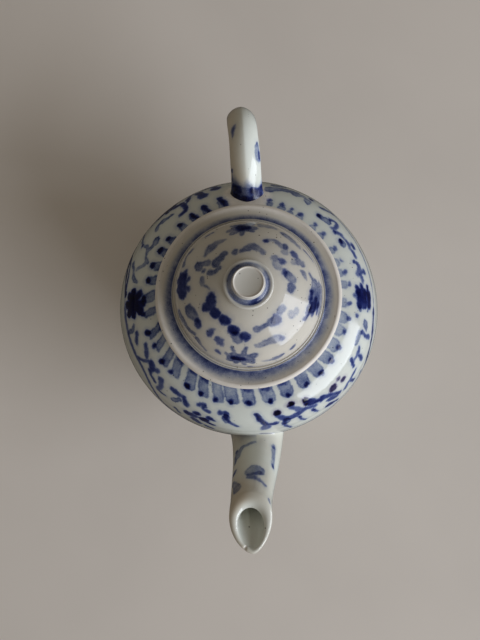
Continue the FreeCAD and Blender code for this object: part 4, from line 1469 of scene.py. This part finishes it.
def lid_rows(size):
    """Profile points of the lid in four runs.

    They are the knob's seat; the dome, an ellipse drawn down by a squared sine; the flange with two fine
    beads, a groove and a half-round rim; and the underside with the hollow of the dome.
    """
    seat = size["seat_height"]
    thick = size["flange_thickness"]
    flange = seat + thick
    dome = size["dome_radius"]
    crown = size["crown_height"]
    knob = size["knob_radius"]
    foot = flange + 0.9
    rim = thick / 2
    rim_middle = size["flange_radius"] - rim
    bore = size["ring_radius"] - RING_WALL
    seat_rows = evenly([(0.5, crown), (knob - 0.4, crown)], 2.0)
    semi = semi_axis(dome, knob, crown - foot)
    dome_rows = evenly(ellipse(foot, dome, semi, math.acos(knob / dome), 0.03, 300), 0.32)
    dome_rows[:, 1] -= np.sin(math.pi * (dome_rows[:, 0] - knob) / (dome - knob)) ** 2
    beads = [ellipse(0, r, r, math.pi, 0, 9) + (dome + out, flange + up) for r, out, up in LID_BEADS]
    t = np.linspace(0, 1, 16)
    groove_start = dome + 1.75
    groove_radius = groove_start + (rim_middle - groove_start) * t
    groove = np.column_stack([groove_radius, flange - 0.5 * np.sin(math.pi * t) ** 0.8])
    edge = ellipse(seat + rim, rim, rim, math.pi / 2, -math.pi / 2, 26) + (rim_middle, 0)
    flange_rows = evenly(np.vstack([*beads, groove, edge]), 0.22)
    corners = [(rim_middle - 0.2, seat), (bore, seat), (bore, flange)]
    under = evenly(rounded(corners, [0, 0.4, 0], closed=False, count=5), 0.9)
    hollow = evenly(ellipse(flange, bore, lid_hollow(size), 0, math.pi / 2 - 0.03, 40), 1.2)
    return seat_rows, dome_rows, flange_rows, np.vstack([under[1:], hollow[1:]])


class TEAPOT_OT_lid(PieceOperator, bpy.types.Operator):
    """Throws the lid and paints it"""

    bl_idname = "teapot.lid"
    bl_label = "Lid"

    def build(self, size, colours):
        """The profile runs down the dome, round the rim and up inside; the dome has slow waves round it."""
        flange = size["seat_height"] + size["flange_thickness"]
        dome = size["dome_radius"]
        crown = size["crown_height"]
        bore = size["ring_radius"] - RING_WALL
        seat_rows, dome_rows, flange_rows, inner_rows = lid_rows(size)
        profile = np.vstack([seat_rows, dome_rows, flange_rows, inner_rows])
        azimuth = circle(COLUMNS["lid"])
        grid = turned(profile, len(azimuth))
        radius = profile[:, :1]
        level = profile[:, 1:]
        lift = smooth_share(level, flange + 0.2, flange + 8) * smooth_share(level, crown, crown - 5)
        thrown = 1 + lift * (0.006 * np.cos(2 * azimuth + 1.2) + 0.003 * np.cos(5 * azimuth))
        grid[..., :2] *= thrown[..., None]
        piece = grid_piece("lid", grid, False, (0, 0, crown), (0, 0, flange + lid_hollow(size)))

        path = dome_rows[::-1]
        reach = 2.0 + reach_along(path)
        dome_start = len(seat_rows)
        dome_end = dome_start + len(dome_rows)
        flange_end = dome_end + len(flange_rows)
        height = np.full((len(profile), 1), HIDDEN)
        height[dome_start:dome_end, 0] = reach[::-1]
        painting = Painting(np.degrees(azimuth), height, radius, (reach, path[:, 0]))
        painting.press = 1.06
        paint_sprigs(painting, LID_SPRIGS)
        painting.press = 1.12
        for place, strokes in LID_FLOWERS.items():
            painting.petals(place, strokes)
        row = np.arange(len(profile))[:, None]
        on_flange = (row >= dome_end) & (row < flange_end)
        fade = np.clip((radius - dome - 1.6) / (3.7 - 1.2 * np.sin(azimuth)), 0, 1)
        band = smooth_share(radius, dome + 1.25, dome + 1.65) * (1 - fade) ** 1.5 * on_flange
        share = 0.6 + 0.12 * np.cos(2 * azimuth - 1.2) + 0.05 * np.sin(3 * azimuth)
        # Painted shade: faint blue darkening in the creases at the dome's foot and between the two beads.
        lid_painted_crease_shade = 0.1 * bell(radius, dome + 0.8, 0.16) + 0.08 * bell(radius, dome - 0.2, 0.14)
        lid_painted_crease_shade = lid_painted_crease_shade * (radius > dome - 0.6) * (level > flange - 0.5)
        wiped = smooth_share(radius, 32.4, 34.4) * on_flange
        wiped = np.maximum(wiped, (row >= flange_end - 12) * (radius > bore - 0.1))
        painting.ground(band * share + lid_painted_crease_shade, 0.8 * wiped, 0.3)
        painting.store(piece)
        warm = tinted(colours.lid_glaze, *LID_WARMTH)
        clay = colours.bare_clay
        finish = glaze("lid_glaze_painted", colours.lid_glaze, warm, clay, colours, 0.42, 0.15, LID_INDEX)
        finish_piece(piece, "lid_dome", "lid", finish)


class TEAPOT_OT_knob(PieceOperator, bpy.types.Operator):
    """Turns the button knob and paints its waist"""

    bl_idname = "teapot.knob"
    bl_label = "Knob"

    def build(self, size, colours):
        """The profile runs up a round base ring and a hollow waist, over a soft rim and into the dish."""
        seat = size["crown_height"]
        top = size["knob_top"]
        base = size["knob_radius"]
        rim = size["knob_top_radius"]
        dish_depth = 0.75
        ring = ellipse(seat + KNOB_RING, KNOB_RING, KNOB_RING, -math.pi / 2, math.pi / 2, 16)
        ring = ring + (base - KNOB_RING, 0)
        corners = [(base - 1.1, seat + 1.4), (6.7, seat + 1.3), (5.8, seat + 2.8), (rim - 0.3, top - 0.5)]
        corners += [(rim - 0.4, top), (rim - 0.7, top), (rim - 1.0, top - 0.3)]
        waist = rounded(corners, [0, 0.5, 0.8, 0.5, 0.3, 0.3, 0], closed=False)
        t = np.linspace(1, 0.06, 24)
        dish = np.column_stack([(rim - 1.0) * t, top - dish_depth + 0.45 * t**2])
        floor = evenly([(0.4, seat), (base - KNOB_RING, seat)], 1.2)
        profile = np.vstack([floor[:-1], evenly(np.vstack([ring, waist, dish]), 0.16)])
        azimuth = circle(COLUMNS["knob"])
        grid = turned(profile, len(azimuth))
        piece = grid_piece("knob", grid, False, (0, 0, seat), (0, 0, top - dish_depth))

        radius = profile[:, :1]
        height = profile[:, 1:]
        painting = Painting(np.degrees(azimuth), height, radius)
        outside = radius > rim - 0.6
        band = smooth_share(radius, 7.6, 7.2) * smooth_share(height, top - 1.7, top - 2.5)
        share = 0.3 + 0.08 * np.sin(3 * azimuth + 0.6) + 0.5 * bell(azimuth, 5.1, 0.24)
        share = share * (1 - 0.85 * bell(azimuth, 0.85, 0.32))
        # Painted shade: faint blue darkening in the crease between the base ring and the waist.
        knob_painted_crease_shade = 0.1 * bell(height, seat + 1.2, 0.2) * (radius < base - 0.8) * outside
        worn = 0.7 * smooth_share(height, top - 0.5, top - 0.1)
        painting.ground(band * share * outside + knob_painted_crease_shade, worn, -0.1)
        painting.store(piece)
        warm = tinted(colours.lid_glaze, *LID_WARMTH)
        clay = colours.bare_clay
        finish = glaze("knob_glaze_painted", colours.lid_glaze, warm, clay, colours, 0.1, index=LID_INDEX)
        finish_piece(piece, "lid_knob", "lid", finish)


# Stage


def add_table(colours):
    """A wide round table, flat rings about its middle, with a faint drift of tone."""
    rings = np.array([(3200.0, 0.0), (1600.0, 0.0), (800.0, 0.0), (300.0, 0.0)])
    table = grid_piece("table", turned(rings, 128), end_pole=(0, 0, 0))
    finish = Finish("table_pale")
    ground = finish.mix(finish.drift(0.0, 1.0, 9), colours.table, tinted(colours.table, 0.95))
    path = finish.node("ShaderNodeLightPath")
    ground = finish.mix(path.outputs["Is Glossy Ray"], ground, tinted(colours.table, GLOSSY_TABLE))
    finish.shade("Base Color", ground)
    finish.shade("Roughness", 0.9)
    finish.shade("Specular IOR Level", 0.1)
    table.data.materials.append(finish.material)


def add_camera(scene, stage):
    """The camera looks nearly straight down, from a little to the spout's side."""
    lens = bpy.data.cameras.new("camera")
    lens.lens = stage.lens
    lens.sensor_width = 36.0
    lens.clip_start = 0.005
    camera = bpy.data.objects.new("camera", lens)
    scene.collection.objects.link(camera)
    forward = Vector((0, math.sin(CAMERA_TILT), -math.cos(CAMERA_TILT)))
    up = Vector((0, math.cos(CAMERA_TILT), math.sin(CAMERA_TILT)))
    right = Vector((1, 0, 0))
    aim = forward * math.cos(CAMERA_SIDE) - right * math.sin(CAMERA_SIDE)
    across = right * math.cos(CAMERA_SIDE) + forward * math.sin(CAMERA_SIDE)
    turn = Matrix((across, up, -aim)).transposed().to_4x4()
    camera.matrix_world = Matrix.Translation((0, -stage.camera_back, stage.camera_height)) @ turn
    scene.camera = camera


def add_window(scene, stage):
    """The window is one wide light, low on the right."""
    light = bpy.data.lights.new("window", "AREA")
    light.shape = "RECTANGLE"
    light.size = stage.window_width
    light.size_y = stage.window_height
    light.energy = stage.window_power
    light.color = WINDOW_COLOUR
    window = bpy.data.objects.new("window", light)
    level = math.cos(WINDOW_RISE)
    towards = Vector((
        math.cos(WINDOW_AZIMUTH) * level, math.sin(WINDOW_AZIMUTH) * level, math.sin(WINDOW_RISE)
    ))
    window.location = towards * stage.window_distance
    window.rotation_euler = towards.to_track_quat("Z", "Y").to_euler()
    scene.collection.objects.link(window)


def add_room(scene, stage):
    """The room is an even light, dimmer where the glaze mirrors it."""
    world = bpy.data.worlds.new("room")
    world.use_nodes = True
    tree = world.node_tree
    room = tree.nodes["Background"]
    room.inputs["Color"].default_value = (*stage.room_light, 1)
    path = tree.nodes.new("ShaderNodeLightPath")
    dimmed = tree.nodes.new("ShaderNodeMapRange")
    dimmed.inputs["To Min"].default_value = 1.0
    dimmed.inputs["To Max"].default_value = GLOSSY_ROOM
    tree.links.new(path.outputs["Is Glossy Ray"], dimmed.inputs["Value"])
    tree.links.new(dimmed.outputs[0], room.inputs["Strength"])
    scene.world = world


class TEAPOT_OT_stage(bpy.types.Operator):
    """Sets the table, the window light, the room light and the camera"""

    bl_idname = "teapot.stage"
    bl_label = "Stage"

    def execute(self, context):
        """Colours are shown as they are, without a film look."""
        scene = context.scene
        add_table(scene.teapot_colours)
        for add in (add_camera, add_window, add_room):
            add(scene, scene.teapot_stage)
        scene.view_settings.view_transform = "Standard"
        return {"FINISHED"}


class TEAPOT_PT_panel(bpy.types.Panel):
    """Lists the sizes, colours and pieces"""

    bl_idname = "TEAPOT_PT_panel"
    bl_label = "Teapot"
    bl_space_type = "VIEW_3D"
    bl_region_type = "UI"
    bl_category = "Teapot"

    def draw(self, context):
        """One button for each piece, then every property."""
        column = self.layout.column(align=True)
        for operator in OPERATORS:
            column.operator(operator.bl_idname)
        for name, group in GROUPS.items():
            box = self.layout.box()
            for key in group.__annotations__:
                box.prop(getattr(context.scene, name), key)


GROUPS = {"teapot_sizes": TeapotSizes, "teapot_colours": TeapotColours, "teapot_stage": TeapotStage}
OPERATORS = (
    TEAPOT_OT_stage,
    TEAPOT_OT_pot,
    TEAPOT_OT_rings,
    TEAPOT_OT_spout,
    TEAPOT_OT_handle,
    TEAPOT_OT_lid,
    TEAPOT_OT_knob,
)
CLASSES = (*GROUPS.values(), *OPERATORS, TEAPOT_PT_panel)


def register():
    """Adds the classes and the scene's properties."""
    for kind in CLASSES:
        bpy.utils.register_class(kind)
    for name, group in GROUPS.items():
        setattr(bpy.types.Scene, name, PointerProperty(type=group))


def unregister():
    """Takes them away again."""
    for name in GROUPS:
        delattr(bpy.types.Scene, name)
    for kind in reversed(CLASSES):
        bpy.utils.unregister_class(kind)


def main():
    """Builds the stage and every piece."""
    register()
    bpy.ops.teapot.stage()
    bpy.ops.teapot.pot()
    bpy.ops.teapot.rings()
    bpy.ops.teapot.spout()
    bpy.ops.teapot.handle()
    bpy.ops.teapot.lid()
    bpy.ops.teapot.knob()


if __name__ == "__main__":
    main()
